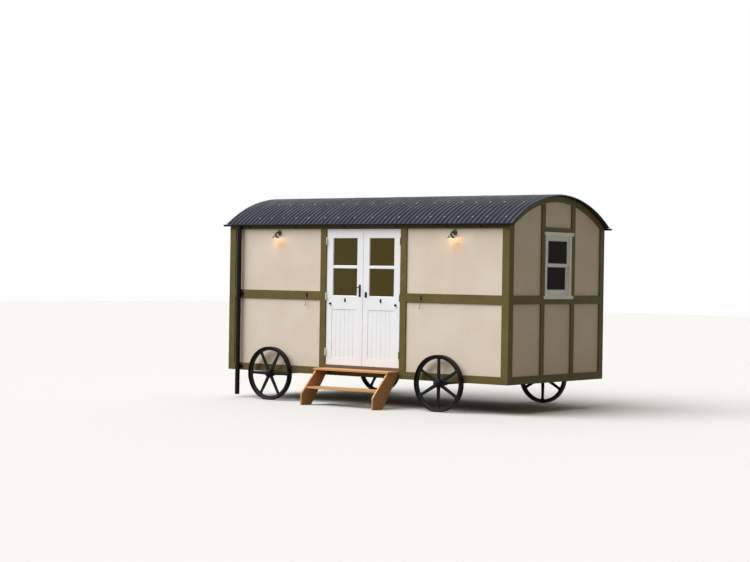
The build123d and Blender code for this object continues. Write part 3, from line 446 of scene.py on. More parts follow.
roof = {
    "middleY": 0.18525, "halfSpan": 1.2475, "eavesZ": 2.514, "ridgeZ": 2.935,
    "waves": 66, "depth": 0.018, "gauge": 0.0007, "clearOfBox": 0.0009,
    "sheetWaves": 10, "lapWaves": 1, "lapLift": 1.15, "stepsPerWave": 10,
    "stepsOverArc": 30,
    "screwRows": (-33, -20, -7, 7, 20, 33),  # degrees round the arc
    "screwCrests": (7, 10, 13, 16, 19, 23, 26, 30, 34, 37, 40, 44, 47, 50, 53, 56, 59, 63),
}
roofLow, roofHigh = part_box("roof_sheet")
roof["pitch"] = (roofHigh.x - roofLow.x) / roof["waves"]
# the valleyShade colour is painted shade laid in the valleys of the waves
roofCoating = coatedRoof({"crest": "#3B3E49", "streak": "#52555E", "valleyShade": "#08090C",
                          "dust": "#303238", "streakMm": 22, "cloudMm": 500,
                          "pitch": roof["pitch"]})

finishes = {  # the CAD nodes that wear each finish, as they are or with eased edges
    chassisTimber: ("side_beams", "cross_members"),
    axleSteel: ("axles",),
    floorTimber: ("floor",),
    softwood: ("roof_boards", "roof_bows"),
    creamPaint: ("back_wall", "front_wall_left", "front_wall_right", "front_wall_over_door",
                 "left_end_wall", "right_end_wall"),
    olivePaint: ("corner_posts", "battens"),
    oliveLevelPaint: ("bottom_rails", "mid_rails", "top_rails", "arch_trims"),
    whitePaint: ("door_frame", "left_door_leaf", "right_door_leaf", "window_frame",
                 "window_sashes"),
    doorGlass: ("left_door_panes", "right_door_panes"),
    endGlass: ("window_panes",),
    darkOak: ("threshold",),
    stepTimber: ("step_stringers", "step_treads"),
}
finishOf = {name: finish for finish, names in finishes.items() for name in names}
for name, finish in finishOf.items():
    nodes[name].data.materials.clear()
    nodes[name].data.materials.append(finish)
print("finishes laid on", len(finishOf), "nodes")

easedTimber = {  # slot, body and width of the easing: nodes
    ("olive_timber", "hut", 0.003): ("corner_posts",),
    ("olive_timber", "hut", 0.002): ("battens", "bottom_rails", "mid_rails", "top_rails",
                                     "arch_trims"),
    ("white_timber", "left_door", 0.0015): ("left_door_leaf",),
    ("white_timber", "right_door", 0.0015): ("right_door_leaf",),
    ("white_timber", "hut", 0.002): ("window_frame", "window_sashes"),
    ("step_timber", "hut", 0.004): ("step_stringers", "step_treads"),
    ("dark_timber", "hut", 0.004): ("threshold",),
}


def easedCopy(name, slot, body, width):
    # the node's own solid with its arrises taken off, as a plane or sandpaper leaves them
    part = bmesh.new()
    part.from_mesh(nodes[name].data)
    bmesh.ops.remove_doubles(part, verts=part.verts, dist=1e-5)
    bmesh.ops.dissolve_limit(part, angle_limit=math.radians(0.5), verts=part.verts,
                             edges=part.edges)
    arrises = [edge for edge in part.edges if edge.is_manifold and edge.is_convex
               and edge.calc_face_angle() > math.radians(40)]
    ease(part, arrises, width, clamp=True)
    piece = newPiece(camelName(name), part, body, slot, finishOf[name], name, sharp=20)
    shading = piece.modifiers.new("weightedNormals", "WEIGHTED_NORMAL")
    shading.weight = 100
    shading.keep_sharp = True


for (slot, body, width), names in easedTimber.items():
    for name in names:
        easedCopy(name, slot, body, width)
print("timber eased")

# one arc for the whole roof, worked out from its span and height
rise = roof["ridgeZ"] - roof["eavesZ"]
crestRadius = (roof["halfSpan"] ** 2 + rise ** 2) / (2 * rise)
arcZ = roof["ridgeZ"] - crestRadius
halfAngle = math.asin(roof["halfSpan"] / crestRadius)


def onRoof(x, angle, radius):
    return Vector((x, roof["middleY"] + radius * math.sin(angle),
                   arcZ + radius * math.cos(angle)))


def roofSheet(bm, firstWave, lastWave, lapped):
    # one corrugated sheet: a flat grid bent into waves and over the arc
    count = lastWave - firstWave + (roof["lapWaves"] if lapped else 0)
    part = bmesh.new()
    bmesh.ops.create_grid(part, x_segments=count * roof["stepsPerWave"],
                          y_segments=roof["stepsOverArc"], size=0.5)
    left = (firstWave - roof["waves"] / 2) * roof["pitch"]
    coverEnd = (lastWave - roof["waves"] / 2) * roof["pitch"]
    low = crestRadius - roof["clearOfBox"] - roof["depth"]
    for vert in part.verts:
        x = left + (vert.co.x + 0.5) * count * roof["pitch"]
        wave = 0.5 - 0.5 * math.cos(2 * math.pi * (x - left) / roof["pitch"])
        lift = 0.0
        if lapped:
            share = min(max((x - coverEnd) / roof["pitch"] + 0.5, 0), 1)
            lift = share * roof["gauge"] * roof["lapLift"]
        vert.co = onRoof(x, 2 * vert.co.y * halfAngle, low + wave * roof["depth"] + lift)
    faceOutwards(part)
    if sum(face.normal.z for face in part.faces) < 0:
        bmesh.ops.reverse_faces(part, faces=part.faces)
    bmesh.ops.solidify(part, geom=part.faces[:], thickness=roof["gauge"])
    addPart(bm, part)


bm = bmesh.new()
for first in range(0, roof["waves"], roof["sheetWaves"]):
    last = min(first + roof["sheetWaves"], roof["waves"])
    roofSheet(bm, first, last, last < roof["waves"])
newPiece("roofSheets", bm, "hut", "sheet_steel", roofCoating, "roof_sheet", sharp=60)

screw = {"washer": 0.013, "dome": 0.006, "head": 0.0048, "steps": 10}
washer, dome, head = screw["washer"], screw["dome"], screw["head"]
bm = bmesh.new()
for row in roof["screwRows"]:
    angle = math.radians(row)
    for crest in roof["screwCrests"]:
        x = (crest + 0.5 - roof["waves"] / 2) * roof["pitch"]
        part = lathe([(0, -0.002), (washer, -0.002), (washer, 0.0008), (head, 0.002),
                      (head, dome - 0.001), (head * 0.7, dome), (0, dome)], screw["steps"])
        seat = onRoof(x, angle, crestRadius - roof["clearOfBox"])
        addPart(bm, part, facing(seat, (0, math.sin(angle), math.cos(angle))))
newPiece("roofScrews", bm, "hut", "sheet_steel", zincPaint, sharp=40)
print("roof made")

wheel = {
    "radius": 0.380, "width": 0.085, "band": 0.016, "webDepth": 0.036, "web": 0.024,
    "hub": 0.058, "hubLength": 0.120, "cap": 0.034, "capReach": 0.021, "bore": 0.019,
    "spokes": 6, "spokeThick": 0.020, "spokeWidths": (0.052, 0.040, 0.060),
    "ys": (-1.10975, 1.48025), "turns": (0, 30),
}


def wheelRim():
    # broad tread with a thin web inside it, which the spokes run into
    outer, half, web = wheel["radius"], wheel["width"] / 2, wheel["web"] / 2
    under = outer - wheel["band"]
    webIn = under - wheel["webDepth"]
    return lathe([(outer, -half), (outer, half), (under + 0.003, half),
                  (under - 0.002, web + 0.006), (under - 0.010, web), (webIn, web - 0.002),
                  (webIn, 0.002 - web), (under - 0.010, -web), (under - 0.002, -web - 0.006),
                  (under + 0.003, -half)], steps=96, ring=True, soften=0.0022)


def wheelSpoke():
    # flat arm: wide at the hub, narrow at its waist and widest where it runs into the rim
    root, waist, toe = wheel["spokeWidths"]
    start = wheel["hub"] - 0.012
    end = wheel["radius"] - wheel["band"] - wheel["webDepth"] / 2
    part = bmesh.new()
    bmesh.ops.create_cube(part, size=1)
    longEdges = [e for e in part.edges
                 if abs(e.verts[0].co.x - e.verts[1].co.x) > 0.5]
    bmesh.ops.subdivide_edges(part, edges=longEdges, cuts=14, use_grid_fill=True)
    for vert in part.verts:
        t = vert.co.x + 0.5
        flare = max(t - 0.78, 0) / 0.22
        width = root + (waist - root) * min(t / 0.75, 1) + (toe - waist) * flare ** 2.2
        vert.co = (start + t * (end - start), vert.co.y * width,
                   vert.co.z * wheel["spokeThick"])
    arrises = [e for e in part.edges if abs(e.verts[0].co.x - e.verts[1].co.x) > 1e-4
               and e.calc_face_angle() > 1]
    ease(part, arrises, 0.004)
    return part


def wheelHub():
    # barrel with a raised band, then the cap over the axle's end; +Z is outwards
    half, r, cap = wheel["hubLength"] / 2, wheel["hub"], wheel["cap"]
    top = half + wheel["capReach"]
    return lathe([(wheel["bore"], -half), (r - 0.008, -half), (r - 0.006, -half + 0.020),
                  (r, -half + 0.026), (r, half - 0.026), (r - 0.006, half - 0.020),
                  (r - 0.010, half - 0.001), (cap + 0.004, half), (cap, half + 0.004),
                  (cap - 0.002, top - 0.004), (cap - 0.008, top), (0, top)],
                 soften=0.0015)


for side, y, tilt in (("front", wheel["ys"][0], 90), ("back", wheel["ys"][1], -90)):
    for hand, x, turn in zip(("left", "right"), hut["axleXs"], wheel["turns"]):
        bm = bmesh.new()
        addPart(bm, wheelRim())
        for index in range(wheel["spokes"]):
            arm = turned(turn + index * 360 / wheel["spokes"], "Z")
            addPart(bm, wheelSpoke(), arm)
        addPart(bm, wheelHub())
        spin = turned(tilt, "X")
        bm.transform(placed((x, y, wheel["radius"])) @ spin)
        name = side + "_" + hand + "_wheel"
        newPiece(camelName(name), bm, name, "wheel_iron", wheelIron, name)

uBolt = {"rod": 0.006, "legX": 0.0265, "bend": 0.012, "low": 0.3535, "high": 0.430,
         "spacing": 0.040}
bend, leg = uBolt["bend"], uBolt["high"] - uBolt["low"] - uBolt["bend"]
across = 2 * (uBolt["legX"] - bend)
bm = bmesh.new()
for x in hut["axleXs"]:
    for beamY in hut["beamYs"]:
        for y in (beamY - uBolt["spacing"] / 2, beamY + uBolt["spacing"] / 2):
            rod = bentRod(uBolt["rod"], [
                ("straight", (0, 0, -leg)),
                ("bend", (bend, 0, -leg), (0, 1, 0), -math.pi / 2),
                ("straight", (across, 0, 0)),
                ("bend", (bend + across, 0, -leg), (0, 1, 0), -math.pi / 2),
                ("straight", (0, 0, leg)),
            ], sides=12)
            addPart(bm, rod, placed((x - uBolt["legX"], y, uBolt["high"])))
newPiece("axleUBolts", bm, "hut", "axle_steel", axleSteel)
print("wheels and axle bolts made")

gutter = {"radius": 0.026, "wall": 0.002, "bead": 0.003, "z": 2.506,
          "ys": (-1.06125, 1.43175), "halfLength": 2.5206, "outlet": 0.020,
          "outletLow": 2.450, "outletWall": 0.002, "cap": 0.002, "capInset": 0.003}


def gutterChannel():
    # half-round channel along X from 0, with a rolled bead on its front lip at -Y
    part = bmesh.new()
    start = part.verts.new((0, gutter["radius"], 0))
    bmesh.ops.spin(part, geom=[start], cent=(0, 0, 0), axis=(1, 0, 0), angle=-math.pi,
                   steps=20)
    grown = bmesh.ops.extrude_edge_only(part, edges=part.edges[:])["geom"]
    moved = [v for v in grown if isinstance(v, bmesh.types.BMVert)]
    length = (2 * gutter["halfLength"], 0, 0)
    bmesh.ops.translate(part, vec=length, verts=moved)
    faceOutwards(part)
    bmesh.ops.solidify(part, geom=part.faces[:], thickness=gutter["wall"])
    bead = bentRod(gutter["bead"], [("straight", length)], sides=10)
    addPart(part, bead, placed((0, -gutter["radius"] + gutter["bead"], 0)))
    return part


def gutterCap():
    part = bmesh.new()
    bmesh.ops.create_circle(part, cap_ends=True, segments=40,
                            radius=gutter["radius"] - 0.0005,
                            matrix=facing((0, 0, 0), rightward))
    bmesh.ops.bisect_plane(part, geom=part.verts[:] + part.edges[:] + part.faces[:],
                           plane_co=(0, 0, 0), plane_no=upward, clear_outer=True)
    faceOutwards(part)
    bmesh.ops.solidify(part, geom=part.faces[:], thickness=gutter["cap"])
    return part


pipe = {"x": -2.225, "radius": 0.034, "wall": 0.003, "low": 0.045, "high": 2.4797,
        "collars": (0.4515, 1.509), "collarHeight": 0.034, "collarOut": 0.004,
        "ear": (0.145, 0.008, 0.034), "earRoot": 0.020, "screwX": 0.060}
bm = bmesh.new()
for y, turn in zip(gutter["ys"], (0, 180)):
    start = placed((0, y, gutter["z"])) @ turned(turn, "Z")
    addPart(bm, gutterChannel(), start @ placed((-gutter["halfLength"], 0, 0)))
    end = gutter["halfLength"] - gutter["capInset"]
    for x in (-end, end):
        addPart(bm, gutterCap(), placed((x, y, gutter["z"])))
spout, inner = gutter["outlet"], gutter["outlet"] - gutter["outletWall"]
outletTop = gutter["z"] - gutter["radius"] + 0.004
addPart(bm, lathe([(spout, gutter["outletLow"]), (spout, outletTop), (inner, outletTop),
                   (inner, gutter["outletLow"])], steps=32, ring=True),
        placed((pipe["x"], gutter["ys"][0], 0)))
newPiece("gutterChannels", bm, "hut", "black_steel", blackSteel, "gutters")

bracket = {"xs": (-2.070, -1.190, -0.310, 0.610, 1.450, 1.990), "width": 0.026,
           "thick": 0.003, "clear": 0.0003, "drop": 0.024, "offWall": 0.039}


def gutterBracket():
    # strap bent round the channel from lip to lip, an arm to the wall and its plate; the
    # channel's middle is at the origin and the wall at +Y
    width, thick, offWall = bracket["width"], bracket["thick"], bracket["offWall"]
    inner = gutter["radius"] + bracket["clear"]
    part = bmesh.new()
    bmesh.ops.create_grid(part, x_segments=1, y_segments=1, size=0.5)
    bmesh.ops.scale(part, vec=(width, thick, 1), verts=part.verts)
    bmesh.ops.translate(part, vec=(0, inner + thick / 2, 0), verts=part.verts)
    bmesh.ops.spin(part, geom=part.faces[:], cent=(0, 0, 0), axis=(1, 0, 0), angle=-math.pi,
                   steps=16)
    faceOutwards(part)
    armZ = -inner - thick / 2
    addPart(part, block((width, offWall, thick), 0.0006), placed((0, offWall / 2, armZ)))
    low = -gutter["radius"] - bracket["drop"]
    addPart(part, plate(width, -low, thick, 0.006), facing((0, offWall, low / 2), frontward))
    screwHeads(part, [(0, offWall - thick, z) for z in (low * 0.86, armZ * 0.45)],
               frontward, 0.005, 0.003)
    return part


bm = bmesh.new()
for y, turn in zip(gutter["ys"], (0, 180)):
    for x in bracket["xs"]:
        addPart(bm, gutterBracket(), placed((x, y, gutter["z"])) @ turned(turn, "Z"))
newPiece("gutterBrackets", bm, "hut", "black_steel", blackSteel, "gutter_brackets")

bm = bmesh.new()
radius, low, high = pipe["radius"], pipe["low"], pipe["high"]
bore = radius - pipe["wall"]
centre = placed((pipe["x"], gutter["ys"][0], 0))
addPart(bm, lathe([(radius, low), (radius, high - 0.050), (radius + 0.003, high - 0.046),
                   (radius + 0.003, high), (bore, high), (bore, low)],
                  ring=True, soften=0.0008), centre)
for height in pipe["collars"]:
    half = pipe["collarHeight"] / 2
    outer = radius + pipe["collarOut"]
    addPart(bm, lathe([(outer, height - half), (outer, height + half),
                       (radius - 0.001, height + half), (radius - 0.001, height - half)],
                      ring=True, soften=0.001), centre)
    earY = hut["frontY"] - pipe["ear"][1] / 2
    for hand in (-1, 1):
        reach = pipe["ear"][0] / 2 - pipe["earRoot"]
        earX = pipe["x"] + hand * (pipe["earRoot"] + reach / 2)
        addPart(bm, block((reach, *pipe["ear"][1:]), 0.002), placed((earX, earY, height)))
    screwHeads(bm, [(pipe["x"] + hand * pipe["screwX"], hut["frontY"] - pipe["ear"][1], height)
                    for hand in (-1, 1)], frontward, 0.006, 0.004)
newPiece("downpipe", bm, "hut", "black_steel", blackSteel, "downpipe")
print("rainwater goods made")

lamp = {
    "xs": (-1.508, 1.556), "z": 2.392, "plate": 0.040, "plateThick": 0.010,
    "neck": 0.012, "bend": 0.018, "reach": 0.090, "drop": 0.026, "shadeTop": 0.018,
    "shade": 0.056, "shadeHeight": 0.054, "wall": 0.0014, "bulbLow": -0.008,
    "screwX": 0.023,
}
metal, bulbs = bmesh.new(), bmesh.new()
thick, edge, low = lamp["plateThick"], lamp["plate"], lamp["bulbLow"]
for x in lamp["xs"]:
    face = (x, hut["frontPanelY"], lamp["z"])
    addPart(metal, lathe([(0, 0), (edge, 0), (edge, 0.006), (edge - 0.003, thick),
                          (edge - 0.009, thick), (edge - 0.013, thick - 0.004),
                          (0.018, thick - 0.003), (0.013, thick + 0.006),
                          (0, thick + 0.007)], soften=0.0008),
            facing(face, frontward))
    screwHeads(metal, [(x + hand * lamp["screwX"], face[1] - thick + 0.0035, lamp["z"])
                       for hand in (-1, 1)], frontward, 0.003)
    out = lamp["reach"] - lamp["bend"]
    neck = bentRod(lamp["neck"], [
        ("straight", (0, -out, 0)),
        ("bend", (0, -out, -lamp["bend"]), (1, 0, 0), math.pi / 2),
        ("straight", (0, 0, -(lamp["drop"] - lamp["bend"]))),
    ])
    addPart(metal, neck, placed(face))
    rim = lamp["z"] - lamp["drop"] - lamp["shadeHeight"]
    foot = placed((x, hut["frontPanelY"] - lamp["reach"], rim))
    high, wide, thin, cap = lamp["shadeHeight"], lamp["shade"], lamp["wall"], lamp["shadeTop"]
    addPart(metal, lathe([(0, high), (cap - 0.004, high), (cap, high - 0.003),
                          (cap, high - 0.014), (cap + 0.004, high - 0.017),
                          (wide * 0.72, 0.020), (wide - 0.004, 0.005), (wide, 0.002),
                          (wide, 0), (wide - thin, 0), (wide - 0.005, 0.004),
                          (wide * 0.72 - thin, 0.018), (cap + 0.003, high - 0.019),
                          (cap - thin, high - 0.016), (cap - thin, high - 0.005),
                          (0, high - 0.004)], steps=56), foot)
    addPart(bulbs, lathe([(0, low), (0.008, low + 0.0022), (0.0135, low + 0.0075),
                          (0.016, low + 0.016), (0.0145, low + 0.025), (0.011, low + 0.034),
                          (0.009, low + 0.042), (0.009, high - 0.0045),
                          (0, high - 0.0045)], steps=32), foot)
newPiece("lamps", metal, "hut", "lamp_metal", lampBronze, "lamps")
newPiece("lampBulbs", bulbs, "hut", "bulb_glass", bulbGlow, "lamp_bulbs")
print("lamps made")

glazing = {
    "doorXs": {"left": -0.29575, "right": 0.34375}, "doorWidth": 0.4305,
    "doorPanes": ((1.509, 1.895), (1.928, 2.316)), "setback": 0.014, "pane": 0.006,
    "rebate": 0.0077, "leafThick": 0.044, "putty": 0.006,
}
puttyLine = [(0, 0), (0, glazing["putty"]), (0.001, glazing["putty"]), (glazing["putty"], 0)]
backDepth = glazing["leafThick"] - glazing["setback"] - glazing["pane"] - 0.001
backBead = [(0, 0), (0, backDepth), (0.003, backDepth), (glazing["rebate"], backDepth - 0.004),
            (glazing["rebate"], 0)]
for hand, x in glazing["doorXs"].items():
    bm = bmesh.new()
    for low, high in glazing["doorPanes"]:
        middle = (low + high) / 2
        outside = hut["leafFrontY"] + glazing["setback"]
        addPart(bm, mitredFrame(glazing["doorWidth"], high - low, puttyLine),
                facing((x, outside, middle), frontward))
        inside = outside + glazing["pane"] + hut["hairGap"]
        addPart(bm, mitredFrame(glazing["doorWidth"] + 2 * glazing["rebate"],
                                high - low + 2 * glazing["rebate"], backBead),
                facing((x, inside, middle), backward))
    newPiece(hand + "DoorBeads", bm, hand + "_door", "white_timber", whitePaint)

sash = {"width": 0.4924, "middleY": 0.18525,
        "panes": ((1.993, 2.3067, 2.418), (1.640, 1.954, 2.3957))}  # low, high, glass X
bm = bmesh.new()
for low, high, glassX in sash["panes"]:
    for direction, offset in ((rightward, 0.0001), (leftward, -glazing["pane"] - 0.0001)):
        addPart(bm, mitredFrame(sash["width"], high - low, puttyLine),
                facing((glassX + offset, sash["middleY"], (low + high) / 2), direction))
newPiece("windowBeads", bm, "hut", "white_timber", whitePaint)
print("beads made")

iron = {
    "hinges": (0.720, 1.500, 2.270), "pinXs": {"left": -0.6155, "right": 0.6635},
    "pinY": -1.02925, "pin": 0.0045, "knuckle": 0.050,
    "eyeXs": {"left": -0.2875, "right": 0.3355}, "eyeZ": 1.450, "eyeReach": 0.028,
    "eyeRing": 0.0075, "eyeWire": 0.0025, "eyePlate": (0.024, 0.058, 0.003),
    "bufferXs": {"left": -0.5465, "right": 0.5945}, "bufferZ": 1.399, "buffer": 0.015,
    "bufferReach": 0.024,
    "plates": {"left": (-0.030, 1.586, 0.034, 0.172), "right": (0.077, 1.531, 0.040, 0.080)},
    "plateThick": 0.005, "keyDrop": 0.032, "spindle": (-0.030, 1.632),
    "leverReach": 0.046, "lever": 0.0065, "leverLength": 0.105, "leverBend": 0.010,
    "leverEnds": 0.036, "leverCurl": 150,
}


def ringEye(ring, wire):
    # round bar bent to a ring in the plane across X
    part = bmesh.new()
    bmesh.ops.create_circle(part, segments=12, radius=wire)
    part.transform(placed((ring, 0, 0)) @ turned(90, "X"))
    bmesh.ops.spin(part, geom=part.verts[:] + part.edges[:], cent=(0, 0, 0), axis=(0, 0, 1),
                   angle=2 * math.pi, steps=28, use_merge=True)
    faceOutwards(part)
    part.transform(turned(90, "Y"))
    return part


for hand in ("left", "right"):
    front = hut["leafFrontY"]
    bm = bmesh.new()
    eyeX, eyeZ = iron["eyeXs"][hand], iron["eyeZ"]
    width, height, thick = iron["eyePlate"]
    seat = facing((eyeX, front, eyeZ), frontward)
    addPart(bm, plate(width, height, thick, width * 0.4), seat)
    screwHeads(bm, [(eyeX, front - thick, eyeZ + side * height * 0.36) for side in (-1, 1)],
               frontward, 0.0038)
    stem = iron["eyeReach"] - 2 * iron["eyeRing"]
    addPart(bm, lathe([(0, 0), (0.0055, 0), (0.0045, thick + 0.003), (0.0032, stem - 0.002),
                       (0, stem - 0.002)], steps=20), seat)
    ringY = front - iron["eyeReach"] + iron["eyeRing"] + iron["eyeWire"]
    addPart(bm, ringEye(iron["eyeRing"], iron["eyeWire"]), placed((eyeX, ringY, eyeZ)))
    x, z, width, height = iron["plates"][hand]
    face = front - iron["plateThick"]
    addPart(bm, plate(width, height, iron["plateThick"], width * 0.45, 0.0012),
            facing((x, front, z), frontward))
    screwHeads(bm, [(x, face, z + side * height * 0.41) for side in (-1, 1)], frontward, 0.004)
    keyZ = z - iron["keyDrop"] if hand == "left" else z
    addPart(bm, lathe([(0.0035, 0), (0.0085, 0), (0.0085, 0.0012), (0.0065, 0.002),
                       (0.0035, 0.002)], steps=24, ring=True),
            facing((x, face, keyZ), frontward))
    newPiece(hand + "DoorIronwork", bm, hand + "_door", "ironmongery", waxedIron,
             hand + "_door_ironwork")
    bm = bmesh.new()
    r, reach = iron["buffer"], iron["bufferReach"]
    addPart(bm, lathe([(0, 0), (r, 0), (r, reach * 0.7), (r * 0.82, reach * 0.95),
                       (r * 0.5, reach), (r * 0.42, reach), (r * 0.36, reach * 0.8),
                       (0, reach * 0.8)], steps=32, soften=0.0006),
            facing((iron["bufferXs"][hand], front, iron["bufferZ"]), frontward))
    newPiece(hand + "DoorBuffer", bm, hand + "_door", "ironmongery", rubber)
    bm = bmesh.new()
    for height in iron["hinges"]:
        for end in (-1, 1):
            addPart(bm, lathe([(0, -0.001), (iron["pin"], -0.001), (iron["pin"], 0.002),
                               (iron["pin"] * 0.6, 0.0045), (0, 0.005)], steps=16),
                    facing((iron["pinXs"][hand], iron["pinY"], height + end * iron["knuckle"]),
                           (0, 0, end)))
    newPiece(hand + "HingePins", bm, "hut", "white_timber", whitePaint)

# lever handle: round boss, a neck out from the plate, then a bar that ends in a curl
bm = bmesh.new()
x, z = iron["spindle"]
root = hut["leafFrontY"] - iron["plateThick"] - hut["hairGap"]
addPart(bm, lathe([(0, 0), (0.0125, 0), (0.0125, 0.005), (0.009, 0.010), (0.007, 0.014),
                   (0, 0.014)], steps=28, soften=0.001), facing((x, root, z), frontward))
bend = iron["leverBend"]
out = iron["leverReach"] - iron["lever"] - bend
run = iron["leverLength"] - iron["leverEnds"]
handle = bentRod(iron["lever"], [
    ("straight", (0, -out, 0)),
    ("bend", (-bend, -out, 0), (0, 0, 1), -math.pi / 2),
    ("straight", (-run, 0, 0)),
    ("bend", (-bend - run, -out - bend, -bend), (0, 1, 0), -math.radians(iron["leverCurl"])),
], sides=20, end=0.003)
addPart(bm, handle, placed((x, root, z)))
newPiece("doorLever", bm, "door_lever", "ironmongery", waxedIron, "door_lever")
print("door ironwork made")

hook = {
    "xs": {"left": -0.973, "right": 1.021}, "offWall": 0.016, "z": 1.511, "length": 0.140,
    "rod": 0.004, "eye": 0.008, "hole": 0.0042, "eyeWidth": 0.010, "tip": 0.024,
    "bend": 0.008, "ball": 0.0058, "plate": (0.040, 0.056, 0.003), "lug": 0.003,
    "screwX": 0.014, "screwZ": 0.021,
}
rod, eye, lug, half = hook["rod"], hook["eye"], hook["lug"], hook["eyeWidth"] / 2
straight = hook["length"] - hook["bend"]
shankZ = -(eye + rod) / 2
bm = bmesh.new()
for hand, x in hook["xs"].items():
    place = (x, hut["frontY"] - hook["offWall"], hook["z"])
    part = bmesh.new()
    addPart(part, lathe([(hook["hole"], -half), (eye, -half), (eye, half),
                         (hook["hole"], half)], steps=28, ring=True, soften=0.0012),
            facing((0, 0, 0), rightward))
    shank = bentRod(rod, [
        ("straight", (0, 0, -straight)),
        ("bend", (0, -hook["bend"], -straight), (1, 0, 0), -math.pi / 2),
        ("straight", (0, -(hook["tip"] - hook["bend"] - hook["ball"]), 0)),
    ])
    addPart(part, shank, placed((0, 0, shankZ)))
    ball = bmesh.new()
    bmesh.ops.create_uvsphere(ball, u_segments=16, v_segments=10, radius=hook["ball"])
    addPart(part, ball, placed((0, -hook["tip"] + hook["ball"], shankZ - hook["length"])))
    part.transform(placed(place))
    newPiece(hand + "CabinHook", part, hand + "_cabin_hook", "ironmongery", hookSteel,
             hand + "_cabin_hook")
    width, height, thick = hook["plate"]
    addPart(bm, plate(width, height, thick, 0.007),
            facing((x, hut["frontY"], hook["z"]), frontward))
    screwHeads(bm, [(x + dx, hut["frontY"] - thick, hook["z"] + dz)
                    for dx in (-hook["screwX"], hook["screwX"])
                    for dz in (-hook["screwZ"], hook["screwZ"])], frontward, 0.0036)
    for side in (-1, 1):
        lugX = x + side * (half + hut["hairGap"] + lug / 2)
        ear = lathe([(0, -lug / 2), (eye, -lug / 2), (eye, lug / 2), (0, lug / 2)],
                    steps=28, soften=0.0007)
        addPart(bm, ear, facing((lugX, place[1], hook["z"]), rightward))
        addPart(bm, block((lug, hook["offWall"] - 0.001, 0.012), 0.0006),
                placed((lugX, hut["frontY"] - hook["offWall"] / 2, hook["z"])))
        screwHeads(bm, [(lugX + side * lug / 2, place[1], hook["z"])], (side, 0, 0), 0.005,
                   0.002)
    addPart(bm, lathe([(0, -half), (rod, -half), (rod, half), (0, half)], steps=20),
            facing(place, rightward))
newPiece("hookPlates", bm, "hut", "ironmongery", waxedIron, "hook_plates")
print("cabin hooks made")

steps = {"top": 0.502, "low": 0.254, "thick": 0.028, "stringer": 0.028, "depth": 0.245,
         "lowFront": 0.440, "head": 0.005, "screwShares": (0.2, 0.5, 0.8)}
bm = bmesh.new()
for side in (-1, 1):
    x = hut["doorX"] + side * (hut["stepWidth"] - steps["stringer"]) / 2
    topYs = [hut["frontY"] - steps["depth"] * share for share in steps["screwShares"]]
    screwHeads(bm, [(x, y, steps["top"]) for y in topYs], upward, steps["head"], 0.0006)
    lowY = hut["frontY"] - steps["lowFront"]
    faceX = x + side * steps["stringer"] / 2
    lowYs = [lowY + steps["depth"] * share for share in steps["screwShares"]]
    screwHeads(bm, [(faceX, y, steps["low"] - steps["thick"] / 2) for y in lowYs],
               (side, 0, 0), steps["head"], 0.0006)
newPiece("stepScrews", bm, "hut", "step_timber", axleSteel)
print("step screws made")

stage = {
    "floorHalf": 60, "floor": "#C4C3C0", "bounce": "#6E6C64", "sky": "#FFF4C6", "fill": 0.26,
    "key": "#FBFBFF", "keyStrength": 5.0, "keyAngle": 62, "keyFrom": (-0.72, -1.0, 1.6),
    "back": "#F4F7FF", "backStrength": 1.6, "backAngle": 75, "backFrom": (-0.6, 1.0, 0.8),
    "glow": "#FFB470", "glowWatts": 0.46, "glowDrop": 0.012, "glowSize": 0.010,
}


def seenDirectly(tree):
    # 1 on rays from the camera, a mirror or glass, and 0 on those that light the hut
    path = addNode(tree, "LightPath").node.outputs
    seen = addNode(tree, "Math", {0: path["Is Camera Ray"], 1: path["Is Glossy Ray"]},
                   operation="MAXIMUM")
    return addNode(tree, "Math", {0: seen, 1: path["Is Transmission Ray"]},
                   operation="MAXIMUM")


def paleFloor():
    # matt studio floor: pale to the camera, mid grey in the light it throws back
    material, tree, place = startMaterial("paleStudioFloor")
    colour = addNode(tree, "Mix", {0: seenDirectly(tree), 6: stage["bounce"],
                                   7: stage["floor"]}, 2, data_type="RGBA")
    return endMaterial(material, {
        "Base Color": colour, "Roughness": 0.9, "Specular IOR Level": 0.0})


bm = bmesh.new()
bmesh.ops.create_grid(bm, x_segments=1, y_segments=1, size=stage["floorHalf"])
floorMesh = bpy.data.meshes.new("studioFloor")
bm.to_mesh(floorMesh)
bm.free()
floorMesh.materials.append(paleFloor())
studioFloor = newObject("studioFloor", floorMesh)

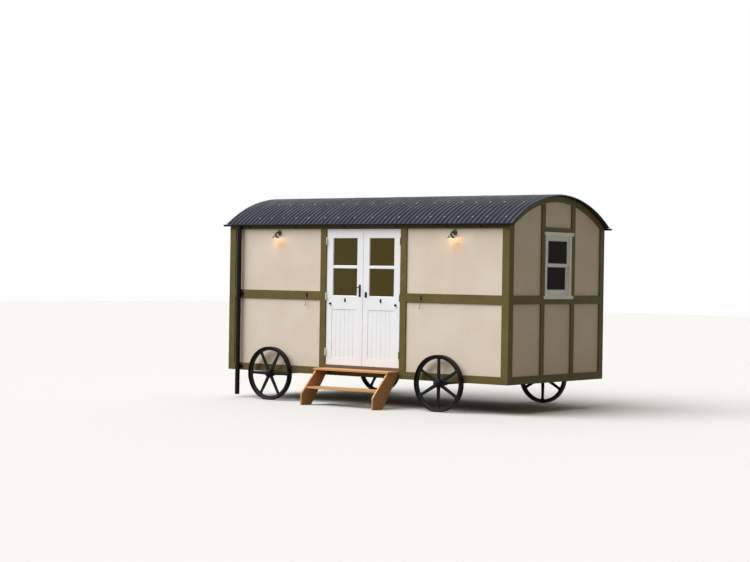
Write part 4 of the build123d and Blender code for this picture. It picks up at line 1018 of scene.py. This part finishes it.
world = bpy.data.worlds.new("softStudio")
bpy.context.scene.world = world
world.use_nodes = True
tree = world.node_tree
tree.nodes.clear()
sky = addNode(tree, "Background", {"Color": stage["sky"], "Strength": stage["fill"]})
white = addNode(tree, "Background", {"Color": (1, 1, 1, 1), "Strength": 1.0})
both = addNode(tree, "MixShader", {0: seenDirectly(tree), 1: sky, 2: white})
addNode(tree, "OutputWorld", {"Surface": both})


def addLight(kind, name, energy, colour, place=(0, 0, 0), toward=None, **settings):
    data = bpy.data.lights.new(name, kind)
    data.energy = energy
    data.color = toLinear(colour)[:3]
    for setting, value in settings.items():
        setattr(data, setting, value)
    light = newObject(name, data)
    light.location = place
    if toward:
        light.rotation_euler = Vector(toward).to_track_quat("Z", "Y").to_euler()


for side, name in (("key", "softKey"), ("back", "softBack")):
    addLight("SUN", name, stage[side + "Strength"], stage[side], toward=stage[side + "From"],
             angle=math.radians(stage[side + "Angle"]))
bulbZ = lamp["z"] - lamp["drop"] - lamp["shadeHeight"] + lamp["bulbLow"]
for x in lamp["xs"]:
    addLight("POINT", "lampGlow", stage["glowWatts"], stage["glow"],
             place=(x, hut["frontPanelY"] - lamp["reach"], bulbZ - stage["glowDrop"]),
             shadow_soft_size=stage["glowSize"])

cameraPlace = {"at": (15.2136, -20.4592, 1.8238), "yaw": 37.601, "pitch": -0.2317,
               "roll": 0.8947, "lens": 85.832}
yaw, pitch, roll = (math.radians(cameraPlace[key]) for key in ("yaw", "pitch", "roll"))
cameraData = bpy.data.cameras.new("photoCamera")
cameraData.sensor_fit = "HORIZONTAL"
cameraData.sensor_width = 36
cameraData.lens = cameraPlace["lens"]
cameraData.clip_end = 500
camera = newObject("photoCamera", cameraData)
ahead = Vector((-math.sin(yaw) * math.cos(pitch), math.cos(yaw) * math.cos(pitch),
                math.sin(pitch)))
right = Vector((math.cos(yaw), math.sin(yaw), 0))
up = right.cross(ahead)
rolledRight = math.cos(roll) * right + math.sin(roll) * up
rolledUp = math.cos(roll) * up - math.sin(roll) * right
turn = Matrix((rolledRight, rolledUp, -ahead)).transposed().to_4x4()
camera.matrix_world = placed(cameraPlace["at"]) @ turn
bpy.context.scene.camera = camera
bpy.context.scene.view_settings.view_transform = "Standard"
print("stage, light and camera set")
